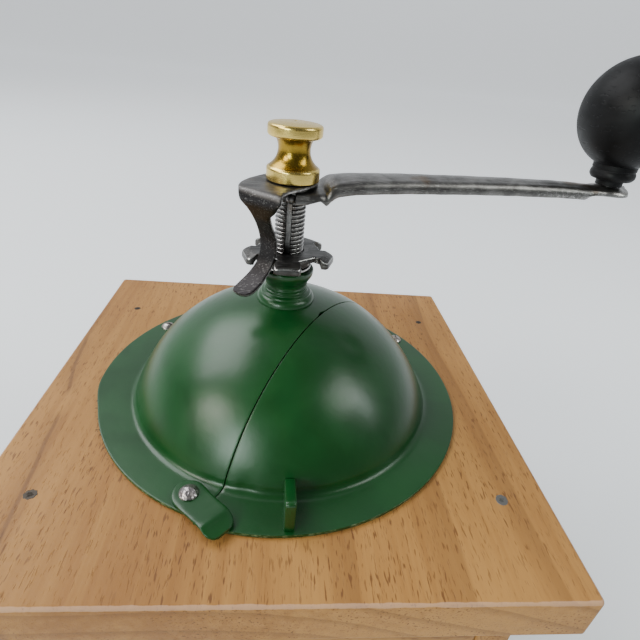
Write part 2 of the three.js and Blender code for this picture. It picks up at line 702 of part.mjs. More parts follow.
function buildDome() {
  const dome = wholeDome();
  const hole = DOME_SCREW_SHANK_RADIUS + SEAT_GAP;
  const holeAt = ([, place]) => rod(hole, -CUT_OVERRUN, FLANGE_TOP + CUT_OVERRUN, place);
  const [pivot, latch, flange] = DOME_SCREWS;
  const trim = beyondPlane(FLANGE_TRIM_AZIMUTH, FLANGE_RADIUS - FLANGE_TRIM_DEPTH);
  const doorSide = beyondPlane(DOOR_CUT_AZIMUTH, DOOR_CUT_OFFSET - SEAT_GAP / 2);
  addMesh(crown, 'dome_shell', cut(dome, [doorSide, trim, holeAt(latch), holeAt(flange)]), 'enamel');
  const opened = overlapOf(dome, beyondPlane(DOOR_CUT_AZIMUTH, DOOR_CUT_OFFSET + SEAT_GAP / 2));
  addMesh(crown, 'dome_door', cut(opened, [holeAt(pivot), pivotCornerWaste()]), 'enamel');
}

function buildFin() {
  const side = [];
  for (let i = 0; i <= FILLET_STEPS; i += 1) {
    const height = mix(FIN_ROOT_TOP, FLANGE_TOP + DOME_FOOT_FILLET, i / FILLET_STEPS);
    side.push([-domeRadiusAt(height - FLANGE_TOP) - SEAT_GAP, height]);
  }
  footRun(DOME_FOOT_FILLET - SEAT_GAP).slice(1).forEach(([radius, height]) => side.push([-radius, height]));
  side.push([-FIN_REACH, FLANGE_TOP + SEAT_GAP]);
  side.push([-FIN_REACH + FIN_KNEE_SETBACK, FIN_KNEE]);
  const outline = side.map(([y, z]) => new THREE.Vector2(y, z));
  const fin = prism(outline, FIN_THICKNESS).translate(0, 0, -FIN_THICKNESS / 2);
  fin.rotateX(Math.PI / 2).rotateZ(Math.PI / 2).translate(FIN_CENTRE_X, 0, 0);
  addMesh(crown, 'door_fin', closed(fin), 'enamel');
}

function buildLatch() {
  const [, place] = DOME_SCREWS[1];
  const half = LATCH_WIDTH / 2;
  const crease = LATCH_LENGTH - LATCH_TIP_LENGTH;
  const low = FLANGE_TOP + SEAT_GAP;
  const under = [[-half, low], [half * 0.5, low], [crease, low + LATCH_BOW], [LATCH_LENGTH, low]];
  const over = under.map(([along, height]) => [along, height + LATCH_SHEET]).reverse();
  const outline = [...under, ...over].map(([along, height]) => new THREE.Vector2(along, height));
  const sheet = prism(outline, LATCH_WIDTH).rotateX(Math.PI / 2).translate(0, half, 0);
  const plan = new THREE.Shape();
  const corner = LATCH_CORNER_RADIUS;
  plan.absarc(0, 0, half, Math.PI / 2, Math.PI * 1.5);
  plan.absarc(LATCH_LENGTH - corner, -half + corner, corner, -Math.PI / 2, 0);
  plan.absarc(LATCH_LENGTH - corner, half - corner, corner, 0, Math.PI / 2);
  const tall = new THREE.ExtrudeGeometry(plan, {
    depth: low + LATCH_BOW + LATCH_SHEET + CUT_OVERRUN,
    bevelEnabled: false,
    curveSegments: BOARD_CORNER_STEPS * 2,
  });
  const screwHole = rod(DOME_SCREW_SHANK_RADIUS + SEAT_GAP, -CUT_OVERRUN, low + LATCH_BOW + CUT_OVERRUN);
  const tab = cut(overlapOf(sheet, tall), [screwHole]);
  addMesh(crown, 'latch_tab', tab, 'enamel', [place.x, place.y, 0], LATCH_AZIMUTH);
}

function buildDomeScrews() {
  const seats = {
    door_pivot_screw: FLANGE_TOP + SEAT_GAP,
    latch_screw: FLANGE_TOP + SEAT_GAP + LATCH_SHEET + SEAT_GAP,
    flange_screw: FLANGE_TOP + SEAT_GAP,
  };
  const reach = FLANGE_RADIUS;
  DOME_SCREWS.forEach(([name, place]) => {
    const length = DOME_SCREW_LENGTH + seats[name];
    const head = [DOME_SCREW_HEAD_RADIUS, DOME_SCREW_HEAD_HEIGHT];
    const screw = turned(screwProfile(...head, DOME_SCREW_SHANK_RADIUS, length), HOLE_SEGMENTS);
    const half = DOME_SCREW_SLOT_WIDTH / 2;
    const floor = DOME_SCREW_HEAD_HEIGHT - DOME_SCREW_SLOT_DEPTH;
    const slot = block([-half, -reach, floor], [half, reach, floor + reach]);
    addMesh(crown, name, cut(screw, [slot]), 'nickel', [place.x, place.y, seats[name]], place.angle());
  });
}

// Neck, spindle, spring and star nut

function buildNeck() {
  const bore = SPINDLE_RADIUS + SEAT_GAP;
  const seat = FLANGE_TOP + domeHeightAt(NECK_HOLE_RADIUS) + SEAT_GAP;
  const rim = FLANGE_TOP + domeHeightAt(NECK_BEAD_RADIUS) + SEAT_GAP;
  const under = FLANGE_TOP + domeHeightAt(NECK_FLANGE_RADIUS) - DOME_SHEET - 2 * SEAT_GAP;
  const beadTop = rim + NECK_BEAD_HEIGHT;
  const beadSwell = NECK_BEAD_RADIUS - NECK_WAIST_RADIUS;
  const cupSwell = NECK_CUP_RADIUS - NECK_WAIST_RADIUS;
  addMesh(crown, 'neck_collar', turned([
    [bore, under - NECK_FLANGE_THICKNESS],
    [NECK_FLANGE_RADIUS, under - NECK_FLANGE_THICKNESS],
    [NECK_FLANGE_RADIUS, under],
    [NECK_WAIST_RADIUS, under],
    [NECK_WAIST_RADIUS, seat],
    [NECK_BEAD_RADIUS, rim],
    [NECK_BEAD_RADIUS - beadSwell * 0.1, rim + NECK_BEAD_HEIGHT * 0.4],
    [NECK_BEAD_RADIUS - beadSwell * 0.35, rim + NECK_BEAD_HEIGHT * 0.65],
    [NECK_WAIST_RADIUS + beadSwell * 0.5, rim + NECK_BEAD_HEIGHT * 0.75],
    [NECK_WAIST_RADIUS + beadSwell * 0.45, rim + NECK_BEAD_HEIGHT],
    [NECK_WAIST_RADIUS, beadTop + NECK_BEAD_HEIGHT * 0.3],
    [NECK_WAIST_RADIUS, NECK_TOP - NECK_CUP_HEIGHT],
    [NECK_CUP_RADIUS - cupSwell * 0.4, NECK_TOP - NECK_CUP_HEIGHT * 0.8],
    [NECK_CUP_RADIUS, NECK_TOP - NECK_CUP_HEIGHT * 0.45],
    [NECK_CUP_RADIUS, NECK_TOP - NECK_CUP_HEIGHT * 0.1],
    [NECK_CUP_RADIUS - cupSwell * 0.2, NECK_TOP],
    [bore, NECK_TOP],
  ]), 'enamel');
}

// The thread runs from inside the star nut up to the arm, as a right-hand helix in the radius.
function threadedStem(bottom, top) {
  const step = THREAD_PITCH / THREAD_STEPS_PER_TURN;
  const rows = Math.max(2, Math.round((top - bottom) / step) + 1);
  const outlines = Array.from({ length: rows }, (_, row) => (
    Array.from({ length: THREAD_SEGMENTS }, (__, k) => {
      const turn = k / THREAD_SEGMENTS;
      const phase = row / THREAD_STEPS_PER_TURN - turn;
      const slope = Math.abs(2 * (phase - Math.floor(phase)) - 1);
      const radius = SPINDLE_RADIUS - THREAD_DEPTH * slope;
      return new THREE.Vector2(radius * Math.cos(2 * Math.PI * turn), radius * Math.sin(2 * Math.PI * turn));
    })
  ));
  return loft(outlines, (point, row) => (
    new THREE.Vector3(point.x, point.y, mix(bottom, top, row / (rows - 1)))
  ));
}

function keyway(depth, width, bottom, top) {
  const half = width / 2;
  const bar = block([SPINDLE_RADIUS - depth, -half, bottom], [SPINDLE_RADIUS + CUT_OVERRUN, half, top]);
  return bar.rotateZ(radians(KEYWAY_AZIMUTH));
}

function buildSpindle() {
  const threadBottom = STAR_TOP - STAR_PLATE;
  const neckBottom = NECK_TOP - NECK_CUP_HEIGHT - THREAD_PITCH;
  const shoulderBottom = SPRING_SHOULDER_TOP - SPRING_SHOULDER_THICKNESS;
  const coneSeat = CONE_TOP + SEAT_GAP;
  const coneNutTop = CONE_BOTTOM - SEAT_GAP;
  const bottom = BRIDGE_BOTTOM;
  const stem = turned([
    [0, bottom],
    [PILOT_RADIUS, bottom],
    [PILOT_RADIUS, coneNutTop],
    [GUIDE_RADIUS, coneNutTop],
    [GUIDE_RADIUS, coneSeat],
    [CONE_SHOULDER_RADIUS, coneSeat],
    [CONE_SHOULDER_RADIUS, coneSeat + CONE_SHOULDER_THICKNESS],
    [GUIDE_RADIUS, coneSeat + CONE_SHOULDER_THICKNESS],
    [GUIDE_RADIUS, shoulderBottom],
    [SPRING_SHOULDER_RADIUS, shoulderBottom],
    [SPRING_SHOULDER_RADIUS, SPRING_SHOULDER_TOP],
    [GUIDE_RADIUS, SPRING_SHOULDER_TOP],
    [GUIDE_RADIUS, neckBottom],
    [SPINDLE_RADIUS, neckBottom],
    [SPINDLE_RADIUS, threadBottom + THREAD_PITCH],
    [0, threadBottom + THREAD_PITCH],
  ], HOLE_SEGMENTS + 4);
  const thread = threadedStem(threadBottom, THREAD_TOP);
  const half = ARM_SQUARE / 2;
  const square = block([-half, -half, THREAD_TOP - THREAD_PITCH], [half, half, PAWL_BOTTOM + PAWL_SHEET]);
  const stud = rod(STUD_RADIUS, THREAD_TOP, STUD_TOP);
  const whole = join(stem, [thread, square.rotateZ(radians(ARM_AZIMUTH)), stud]);
  const groove = keyway(KEYWAY_DEPTH, KEYWAY_WIDTH, neckBottom - CUT_OVERRUN, THREAD_TOP + CUT_OVERRUN);
  addMesh(crown, 'spindle', cut(whole, [groove]), 'steel');

  const washer = turned([
    [SPINDLE_RADIUS + SEAT_GAP, WASHER_BOTTOM],
    [WASHER_RADIUS, WASHER_BOTTOM],
    [WASHER_RADIUS, WASHER_BOTTOM + WASHER_THICKNESS],
    [SPINDLE_RADIUS + SEAT_GAP, WASHER_BOTTOM + WASHER_THICKNESS],
  ], TURNED_SEGMENTS);
  const toothWidth = KEYWAY_WIDTH - 2 * SEAT_GAP;
  const tooth = keyway(KEYWAY_DEPTH - SEAT_GAP, toothWidth, WASHER_BOTTOM, WASHER_BOTTOM + WASHER_THICKNESS);
  addMesh(crown, 'thrust_washer', join(washer, [tooth]), 'steel');
}

// The share of the wire's path that bends over at each end of the coil.
const COIL_STUB_SHARE = 0.02;

class CoilCurve extends THREE.Curve {
  constructor(bottom, top) {
    super();
    this.bottom = bottom;
    this.top = top;
  }

  getPoint(share, target = new THREE.Vector3()) {
    const coil = THREE.MathUtils.clamp((share - COIL_STUB_SHARE) / (1 - 2 * COIL_STUB_SHARE), 0, 1);
    const angle = 2 * Math.PI * SPRING_TURNS * coil;
    const end = 2 * SPRING_WIRE_RADIUS;
    const below = Math.max(0, (COIL_STUB_SHARE - share) / COIL_STUB_SHARE) * end;
    const above = Math.max(0, (share - 1 + COIL_STUB_SHARE) / COIL_STUB_SHARE) * end;
    const height = mix(this.bottom + end, this.top - end, coil) - below + above;
    const radius = SPRING_COIL_RADIUS;
    return target.set(radius * Math.cos(angle), radius * Math.sin(angle), height);
  }
}

// The least clear distance between two turns of the coil, measured on its centre line's points.
function leastCoilGap(curve) {
  const points = curve.getPoints(SPRING_TURNS * SPRING_STEPS_PER_TURN * 2);
  const apart = SPRING_STEPS_PER_TURN;
  let least = Infinity;
  points.forEach((point, i) => {
    points.slice(i + apart).forEach((other) => {
      least = Math.min(least, point.distanceTo(other) - 2 * SPRING_WIRE_RADIUS);
    });
  });
  return least;
}

function buildSpring() {
  const bottom = SPRING_SHOULDER_TOP + SEAT_GAP;
  const under = FLANGE_TOP + domeHeightAt(NECK_FLANGE_RADIUS) - DOME_SHEET - 2 * SEAT_GAP;
  const top = under - NECK_FLANGE_THICKNESS - SEAT_GAP;
  const curve = new CoilCurve(bottom, top);
  const section = new THREE.Shape(Array.from({ length: SPRING_SIDES }, (_, k) => (
    polar(SPRING_WIRE_RADIUS, (360 * k) / SPRING_SIDES)
  )));
  const spring = new THREE.ExtrudeGeometry(section, {
    steps: SPRING_TURNS * SPRING_STEPS_PER_TURN + 4,
    extrudePath: curve,
    curveSegments: 1,
    bevelEnabled: false,
  });
  addMesh(crown, 'thrust_spring', closed(spring), 'steel');
  console.log(`least gap between the spring's turns: ${leastCoilGap(curve).toFixed(2)} mm`);
}

// The star's lobes widen outwards, and a U-shaped notch between two of them takes the pawl.
function starOutline() {
  const outline = [];
  const spacing = 360 / STAR_LOBES;
  const lobe = STAR_LOBE_WIDTH / 2;
  const notch = STAR_NOTCH_WIDTH / 2;
  const tip = STAR_TIP_RADIUS;
  const blunt = STAR_EDGE_RADIUS;
  const halfTurn = radians(spacing / 2);
  const mouth = (lobe + notch * Math.cos(halfTurn)) / Math.sin(halfTurn);
  for (let index = 0; index < STAR_LOBES; index += 1) {
    const azimuth = STAR_FIRST_AZIMUTH + index * spacing;
    const place = (along, side, turn) => (
      outline.push(new THREE.Vector2(along, side).rotateAround(new THREE.Vector2(), radians(turn)))
    );
    place(tip - blunt, -lobe, azimuth);
    place(tip, -lobe + blunt, azimuth);
    place(tip, lobe - blunt, azimuth);
    place(tip - blunt, lobe, azimuth);
    place(mouth, -notch, azimuth + spacing / 2);
    place(STAR_NOTCH_RADIUS + blunt, -notch, azimuth + spacing / 2);
    place(STAR_NOTCH_RADIUS, -notch + blunt, azimuth + spacing / 2);
    place(STAR_NOTCH_RADIUS, notch - blunt, azimuth + spacing / 2);
    place(STAR_NOTCH_RADIUS + blunt, notch, azimuth + spacing / 2);
    place(mouth, notch, azimuth + spacing / 2);
  }
  return outline;
}

function buildStarNut() {
  const edge = STAR_EDGE_RADIUS;
  const plate = new THREE.ExtrudeGeometry(
    new THREE.Shape(starOutline()),
    { depth: STAR_PLATE - 2 * edge, bevelThickness: edge, bevelSize: edge, bevelOffset: -edge, bevelSegments: 2 },
  ).translate(0, 0, STAR_TOP - STAR_PLATE + edge);
  const half = STAR_LOBE_WIDTH / 2 - edge;
  const [low, high] = [STAR_TOP - STAR_TOOTH_DEPTH, STAR_TOP - STAR_PLATE / 2];
  const teeth = Array.from({ length: STAR_LOBES }, (_, lobe) => {
    const tooth = block([STAR_TIP_RADIUS - STAR_TOOTH_THICKNESS, -half, low], [STAR_TIP_RADIUS, half, high]);
    return tooth.rotateZ(radians(STAR_FIRST_AZIMUTH + (360 * lobe) / STAR_LOBES));
  });
  const hub = rod(STAR_HUB_RADIUS, STAR_BOTTOM, STAR_TOP - edge, undefined, TURNED_SEGMENTS);
  const bore = rod(SPINDLE_RADIUS + SEAT_GAP, STAR_BOTTOM - CUT_OVERRUN, STAR_TOP + CUT_OVERRUN);
  const droop = turned([
    [STAR_DROOP_START, STAR_TOP],
    [2 * STAR_TIP_RADIUS - STAR_DROOP_START, STAR_TOP - 2 * STAR_DROOP],
    [2 * STAR_TIP_RADIUS - STAR_DROOP_START, STAR_TOP + CUT_OVERRUN],
    [STAR_DROOP_START, STAR_TOP + CUT_OVERRUN],
  ]);
  addMesh(crown, 'star_nut', cut(join(plate, [hub, ...teeth]), [bore, droop]), 'steel');
}

// Crank arm, pawl, brass nut and knob

// The arm's sections as shares of its length, of a named half width, of its rise and of its skirt.
const ARM_STATION_SHARES = [
  { along: 0.014, width: 0.97, of: 'root', rise: 0, skirt: 0.6 },
  { along: 0.078, width: 0.96, of: 'root', rise: 0, skirt: 0.95 },
  { along: 0.084, width: 0.95, of: 'root', rise: 0.33, skirt: 1 },
  { along: 0.13, width: 0.91, of: 'root', rise: 0.72, skirt: 1 },
  { along: 0.19, width: 0.86, of: 'root', rise: 0.87, skirt: 1 },
  { along: 0.31, width: 1.07, of: 'middle', rise: 0.98, skirt: 1 },
  { along: 0.51, width: 1, of: 'middle', rise: 1, skirt: 1 },
  { along: 0.79, width: 0.93, of: 'middle', rise: 0.9, skirt: 1 },
  { along: 0.885, width: 0.91, of: 'middle', rise: 0.8, skirt: 1 },
  { along: 0.915, width: 0.91, of: 'middle', rise: 0.73, skirt: 0 },
  { along: 0.955, width: 0.8, of: 'eye', rise: 0.675, skirt: 0 },
  { along: 0.977, width: 0.93, of: 'eye', rise: 0.675, skirt: 0 },
  { along: 1, width: 1, of: 'eye', rise: 0.675, skirt: 0 },
  { along: 1.023, width: 0.93, of: 'eye', rise: 0.675, skirt: 0 },
  { along: 1.043, width: 0.74, of: 'eye', rise: 0.675, skirt: 0 },
  { along: 1.056, width: 0.5, of: 'eye', rise: 0.675, skirt: 0 },
  { along: 1.062, width: 0.34, of: 'eye', rise: 0.675, skirt: 0 },
];

// The arm's section is an upturned channel with round shoulders and a slight crown.
function channelOutline(half, skirt) {
  const corner = ARM_CORNER_RADIUS;
  const inner = half - ARM_SHEET;
  const ceiling = ARM_CROWN - ARM_SHEET;
  const ease = Math.min(ARM_SHEET / 2, (skirt + ceiling) / 2);
  const shoulder = [[half, -skirt], [half, -corner]];
  shoulder.push([half - corner * 0.3, -corner * 0.3], [half - corner, 0]);
  const right = shoulder.map(([x, z]) => new THREE.Vector2(x, z));
  const left = shoulder.map(([x, z]) => new THREE.Vector2(-x, z)).reverse();
  const hollow = [[-inner, -skirt], [-inner, ceiling - ease], [-inner + ease, ceiling]];
  const hollowLeft = hollow.map(([x, z]) => new THREE.Vector2(x, z));
  const hollowRight = hollow.map(([x, z]) => new THREE.Vector2(-x, z)).reverse();
  return [...right, new THREE.Vector2(0, ARM_CROWN), ...left, ...hollowLeft, ...hollowRight];
}

function buildArm() {
  const widths = { root: ARM_ROOT_HALF_WIDTH, middle: ARM_MIDDLE_HALF_WIDTH, eye: ARM_EYE_HALF_WIDTH };
  const outlines = ARM_STATION_SHARES.map(({ width, of, skirt }) => (
    channelOutline(widths[of] * width, mix(ARM_END_SKIRT, ARM_SKIRT, skirt))
  ));
  const channel = loft(outlines, (point, station) => {
    const { along, rise } = ARM_STATION_SHARES[station];
    return new THREE.Vector3(along * ARM_LENGTH, -point.x, ARM_HUB_TOP + rise * ARM_RISE + point.y - ARM_CROWN);
  });
  const hubBottom = ARM_HUB_TOP - ARM_SHEET;
  const hub = rod(ARM_HUB_RADIUS, hubBottom, ARM_HUB_TOP - ARM_CROWN, undefined, TURNED_SEGMENTS);
  const half = ARM_SQUARE / 2 + SEAT_GAP;
  const squareHole = block([-half, -half, THREAD_TOP - CUT_OVERRUN], [half, half, NUT_BOTTOM + CUT_OVERRUN]);
  const pinHole = rod(
    KNOB_PIN_RADIUS + SEAT_GAP,
    ARM_EYE_TOP - ARM_SKIRT - CUT_OVERRUN,
    ARM_EYE_TOP + CUT_OVERRUN,
    new THREE.Vector2(ARM_LENGTH, 0),
  );
  const skirtBottom = ARM_HUB_TOP - ARM_CROWN - ARM_SKIRT;
  const relief = prism([
    new THREE.Vector2(ARM_NOTCH_START, skirtBottom - CUT_OVERRUN),
    new THREE.Vector2(ARM_NOTCH_END, skirtBottom - CUT_OVERRUN),
    new THREE.Vector2(ARM_NOTCH_END, skirtBottom + ARM_NOTCH_DEPTH),
    new THREE.Vector2(ARM_NOTCH_START, skirtBottom),
  ], ARM_ROOT_HALF_WIDTH).rotateX(Math.PI / 2);
  const frontRelief = relief.translate(0, -ARM_ROOT_HALF_WIDTH + 2 * ARM_SHEET, 0);
  const arm = cut(join(channel, [hub]), [squareHole, pinHole, frontRelief]);
  addMesh(crown, 'crank_arm', arm, 'steel', [0, 0, 0], ARM_AZIMUTH);
}

// The pawl's plate under the nut: how far out a section lies as a share of the fold's reach, and
// its left and right edges as shares of the plate's half width.
const PAWL_PLATE_SHARES = [
  { reach: -0.506, left: -0.62, right: 0.17 },
  { reach: -0.456, left: -0.91, right: 0.42 },
  { reach: -0.342, left: -1.11, right: 0.65 },
  { reach: -0.158, left: -1.21, right: 0.8 },
  { reach: 0.095, left: -1.24, right: 0.84 },
  { reach: 0.38, left: -1.23, right: 0.79 },
  { reach: 0.601, left: -1.15, right: 0.74 },
  { reach: 0.791, left: -1.02, right: 0.79 },
];

// The pawl's tongue: how far a section lies out from the notch towards the fold or the tip, how far
// down from the plate to the tip, and its left and right edges as shares of the tongue's half width.
const PAWL_TONGUE_SHARES = [
  { side: 'fold', reach: 0.759, drop: 0.002, left: -2.37, right: 2.33 },
  { side: 'fold', reach: 0.931, drop: 0.015, left: -2.07, right: 2.57 },
  { side: 'fold', reach: 1, drop: 0.044, left: -1.93, right: 2.6 },
  { side: 'fold', reach: 0.966, drop: 0.091, left: -1.83, right: 2.3 },
  { side: 'fold', reach: 0.776, drop: 0.164, left: -1.37, right: 1.73 },
  { side: 'fold', reach: 0.552, drop: 0.252, left: -1.07, right: 0.93 },
  { side: 'fold', reach: 0.345, drop: 0.339, left: -0.93, right: 0.87 },
  { side: 'fold', reach: 0.155, drop: 0.431, left: -0.9, right: 0.97 },
  { side: 'fold', reach: 0.034, drop: 0.515, left: -0.9, right: 1.03 },
  { side: 'tip', reach: 0, drop: 0.609, left: -0.9, right: 0.97 },
  { side: 'tip', reach: 0.012, drop: 0.693, left: -0.97, right: 0.87 },
  { side: 'tip', reach: 0.087, drop: 0.766, left: -1.07, right: 0.77 },
  { side: 'tip', reach: 0.238, drop: 0.839, left: -1.27, right: 0.67 },
  { side: 'tip', reach: 0.488, drop: 0.916, left: -1.53, right: 0.57 },
  { side: 'tip', reach: 0.775, drop: 0.971, left: -1.7, right: 0.53 },
  { side: 'tip', reach: 0.938, drop: 0.993, left: -1.57, right: 0.43 },
  { side: 'tip', reach: 1, drop: 1, left: -1.2, right: 0.07 },
];

function pawlSections() {
  const level = PAWL_BOTTOM + PAWL_SHEET / 2;
  const tip = STAR_TOP - STAR_TOOTH_DEPTH - PAWL_TIP_BELOW_STAR;
  const pinch = STAR_NOTCH_RADIUS + SEAT_GAP + PAWL_SHEET / 2;
  const half = STAR_NOTCH_WIDTH / 2 - 2 * SEAT_GAP;
  const outer = { fold: PAWL_FOLD_REACH, tip: PAWL_TIP_REACH };
  const plate = PAWL_PLATE_SHARES.map(({ reach, left, right }) => ({
    point: new THREE.Vector2(reach * PAWL_FOLD_REACH, level),
    left: left * PAWL_PLATE_HALF_WIDTH,
    right: right * PAWL_PLATE_HALF_WIDTH,
  }));
  const tongue = PAWL_TONGUE_SHARES.map(({ side, reach, drop, left, right }) => ({
    point: new THREE.Vector2(mix(pinch, outer[side], reach), mix(level, tip, drop)),
    left: left * half,
    right: right * half,
  }));
  return [...plate, ...tongue];
}

function buildPawl() {
  const sections = pawlSections();
  const path = sections.map(({ point }) => point);
  const outlines = sections.map(({ left, right }) => [
    new THREE.Vector2(left, -PAWL_SHEET / 2),
    new THREE.Vector2(right, -PAWL_SHEET / 2),
    new THREE.Vector2(right, PAWL_SHEET / 2),
    new THREE.Vector2(left, PAWL_SHEET / 2),
  ]);
  const strip = loft(outlines, (point, station) => {
    const before = path[Math.max(0, station - 1)];
    const after = path[Math.min(path.length - 1, station + 1)];
    const tangent = after.clone().sub(before).normalize();
    const reach = path[station].x - tangent.y * point.y;
    return new THREE.Vector3(reach, point.x, path[station].y + tangent.x * point.y);
  });
  const half = ARM_SQUARE / 2 + SEAT_GAP;
  const hole = block([-half, -half, PAWL_BOTTOM - CUT_OVERRUN], [half, half, NUT_BOTTOM + CUT_OVERRUN]);
  const squareHole = hole.rotateZ(radians(ARM_AZIMUTH - PAWL_AZIMUTH));
  addMesh(crown, 'pawl_spring', cut(strip, [squareHole]), 'steel', [0, 0, 0], PAWL_AZIMUTH);
}

function buildBrassNut() {
  const bore = STUD_RADIUS + SEAT_GAP;
  const boreTop = STUD_TOP + SEAT_GAP - NUT_BOTTOM;
  const headBottom = NUT_HEIGHT - NUT_CROWN - NUT_HEAD_HEIGHT;
  const waist = mix(NUT_BASE_HEIGHT, headBottom, 0.55);
  const flare = NUT_BASE_RADIUS - NUT_WAIST_RADIUS;
  addMesh(crown, 'brass_nut', turned([
    [bore, 0],
    [NUT_BASE_RADIUS - NUT_EDGE, 0],
    [NUT_BASE_RADIUS, NUT_EDGE],
    [NUT_BASE_RADIUS, NUT_BASE_HEIGHT - NUT_EDGE],
    [NUT_BASE_RADIUS - NUT_EDGE, NUT_BASE_HEIGHT],
    [NUT_WAIST_RADIUS + flare * 0.4, mix(NUT_BASE_HEIGHT, waist, 0.4)],
    [NUT_WAIST_RADIUS + flare * 0.08, mix(NUT_BASE_HEIGHT, waist, 0.78)],
    [NUT_WAIST_RADIUS, waist],
    [NUT_WAIST_RADIUS + flare * 0.1, mix(waist, headBottom, 0.45)],
    [NUT_WAIST_RADIUS + flare * 0.42, mix(waist, headBottom, 0.8)],
    [NUT_HEAD_RADIUS - NUT_EDGE, headBottom],
    [NUT_HEAD_RADIUS, headBottom + NUT_EDGE],
    [NUT_HEAD_RADIUS, headBottom + NUT_HEAD_HEIGHT - NUT_EDGE],
    [NUT_HEAD_RADIUS - NUT_EDGE, headBottom + NUT_HEAD_HEIGHT],
    [NUT_HEAD_RADIUS * 0.5, NUT_HEIGHT - NUT_CROWN * 0.25],
    [0, NUT_HEIGHT],
    [0, boreTop],
    [bore, boreTop],
  ]), 'brass', [0, 0, NUT_BOTTOM]);
}

function buildKnob() {
  const place = polar(ARM_LENGTH, ARM_AZIMUTH);
  const bore = KNOB_PIN_RADIUS + SEAT_GAP;
  const collarBottom = KNOB_NECK_HEIGHT;
  const collarTop = collarBottom + KNOB_COLLAR_HEIGHT;
  const middle = collarTop + KNOB_BALL_HEIGHT / 2;
  const half = KNOB_BALL_HEIGHT / 2;
  const recess = KNOB_PIN_HEAD_RADIUS + SEAT_GAP;
  const start = Math.asin(KNOB_GROOVE_RADIUS / KNOB_RADIUS);
  const end = Math.PI - Math.asin(recess / KNOB_RADIUS);
  const ball = Array.from({ length: 2 * BALL_STEPS + 1 }, (_, i) => {
    const angle = mix(start, end, i / (2 * BALL_STEPS));
    return [KNOB_RADIUS * Math.sin(angle), middle - half * Math.cos(angle)];
  });
  const rim = ball[ball.length - 1][1];
  addMesh(crown, 'knob', turned([
    [bore, 0],
    [KNOB_NECK_RADIUS, 0],
    [KNOB_NECK_RADIUS, collarBottom],
    [KNOB_COLLAR_RADIUS - KNOB_COLLAR_HEIGHT * 0.25, collarBottom],
    [KNOB_COLLAR_RADIUS, collarBottom + KNOB_COLLAR_HEIGHT * 0.3],
    [KNOB_COLLAR_RADIUS, collarBottom + KNOB_COLLAR_HEIGHT * 0.6],
    [KNOB_GROOVE_RADIUS, collarTop],
    ...ball,
    [recess, rim - KNOB_RECESS_DEPTH],
    [bore, rim - KNOB_RECESS_DEPTH],
  ]), 'lacquer', [place.x, place.y, ARM_EYE_TOP + SEAT_GAP]);

  const seat = rim - KNOB_RECESS_DEPTH + SEAT_GAP;
  const eyeBottom = -SEAT_GAP - ARM_END_SKIRT;
  const rivetTop = eyeBottom - SEAT_GAP;
  addMesh(crown, 'knob_pin', turned([
    [0, rivetTop - KNOB_PIN_RIVET_HEIGHT],
    [KNOB_PIN_RIVET_RADIUS * 0.6, rivetTop - KNOB_PIN_RIVET_HEIGHT],
    [KNOB_PIN_RIVET_RADIUS, rivetTop],
    [KNOB_PIN_RADIUS, rivetTop],
    [KNOB_PIN_RADIUS, seat],
    [KNOB_PIN_HEAD_RADIUS, seat],
    [KNOB_PIN_HEAD_RADIUS * 0.9, seat + KNOB_PIN_HEAD_HEIGHT * 0.6],
    [KNOB_PIN_HEAD_RADIUS * 0.5, seat + KNOB_PIN_HEAD_HEIGHT],
    [0, seat + KNOB_PIN_HEAD_HEIGHT],
  ], HOLE_SEGMENTS + 4), 'steel', [place.x, place.y, ARM_EYE_TOP + SEAT_GAP]);
}

// Mill works

const millScrewAt = (index) => polar(MILL_SCREW_CIRCLE_RADIUS, 90 + (360 * index) / MILL_SCREWS);
const BRIDGE_SCREW_X = (RING_RADIUS + RING_BORE_BOTTOM_RADIUS) / 2;

function buildBowl() {
  const run = (inset) => Array.from({ length: BOWL_STEPS + 1 }, (_, i) => {
    const angle = (Math.PI / 2) * (i / BOWL_STEPS);
    const swell = (BOWL_RIM_RADIUS - BOWL_FLOOR_RADIUS) * Math.cos(angle);
    return [BOWL_FLOOR_RADIUS + swell - inset, -BOWL_SHEET - (BOWL_DEPTH - BOWL_SHEET) * Math.sin(angle) + inset];
  });
  const bowl = turned([
    [BOWL_LIP_RADIUS, 0],
    [BOWL_LIP_RADIUS, -BOWL_SHEET],
    ...run(0),
    [BOWL_THROAT_RADIUS, -BOWL_DEPTH],
    [BOWL_THROAT_RADIUS, -BOWL_DEPTH + BOWL_SHEET],
    ...run(BOWL_SHEET).reverse(),
  ], BOWL_SEGMENTS);
  const holes = Array.from({ length: MILL_SCREWS }, (_, index) => (
    rod(MILL_SCREW_SHANK_RADIUS + SEAT_GAP, -BOWL_DEPTH - CUT_OVERRUN, -BOWL_DEPTH / 2, millScrewAt(index))
  ));
  addMesh(crown, 'hopper_bowl', cut(bowl, holes), 'steel');
}

function buildMillScrews() {
  const head = [MILL_SCREW_HEAD_RADIUS, MILL_SCREW_HEAD_HEIGHT, MILL_SCREW_SHANK_RADIUS];
  const seat = -BOWL_DEPTH + BOWL_SHEET + SEAT_GAP;
  for (let index = 0; index < MILL_SCREWS; index += 1) {
    const place = millScrewAt(index);
    const screw = turned(screwProfile(...head, MILL_SCREW_LENGTH), HOLE_SEGMENTS);
    addMesh(crown, `mill_screw_${index + 1}`, screw, 'steel', [place.x, place.y, seat]);
  }
}

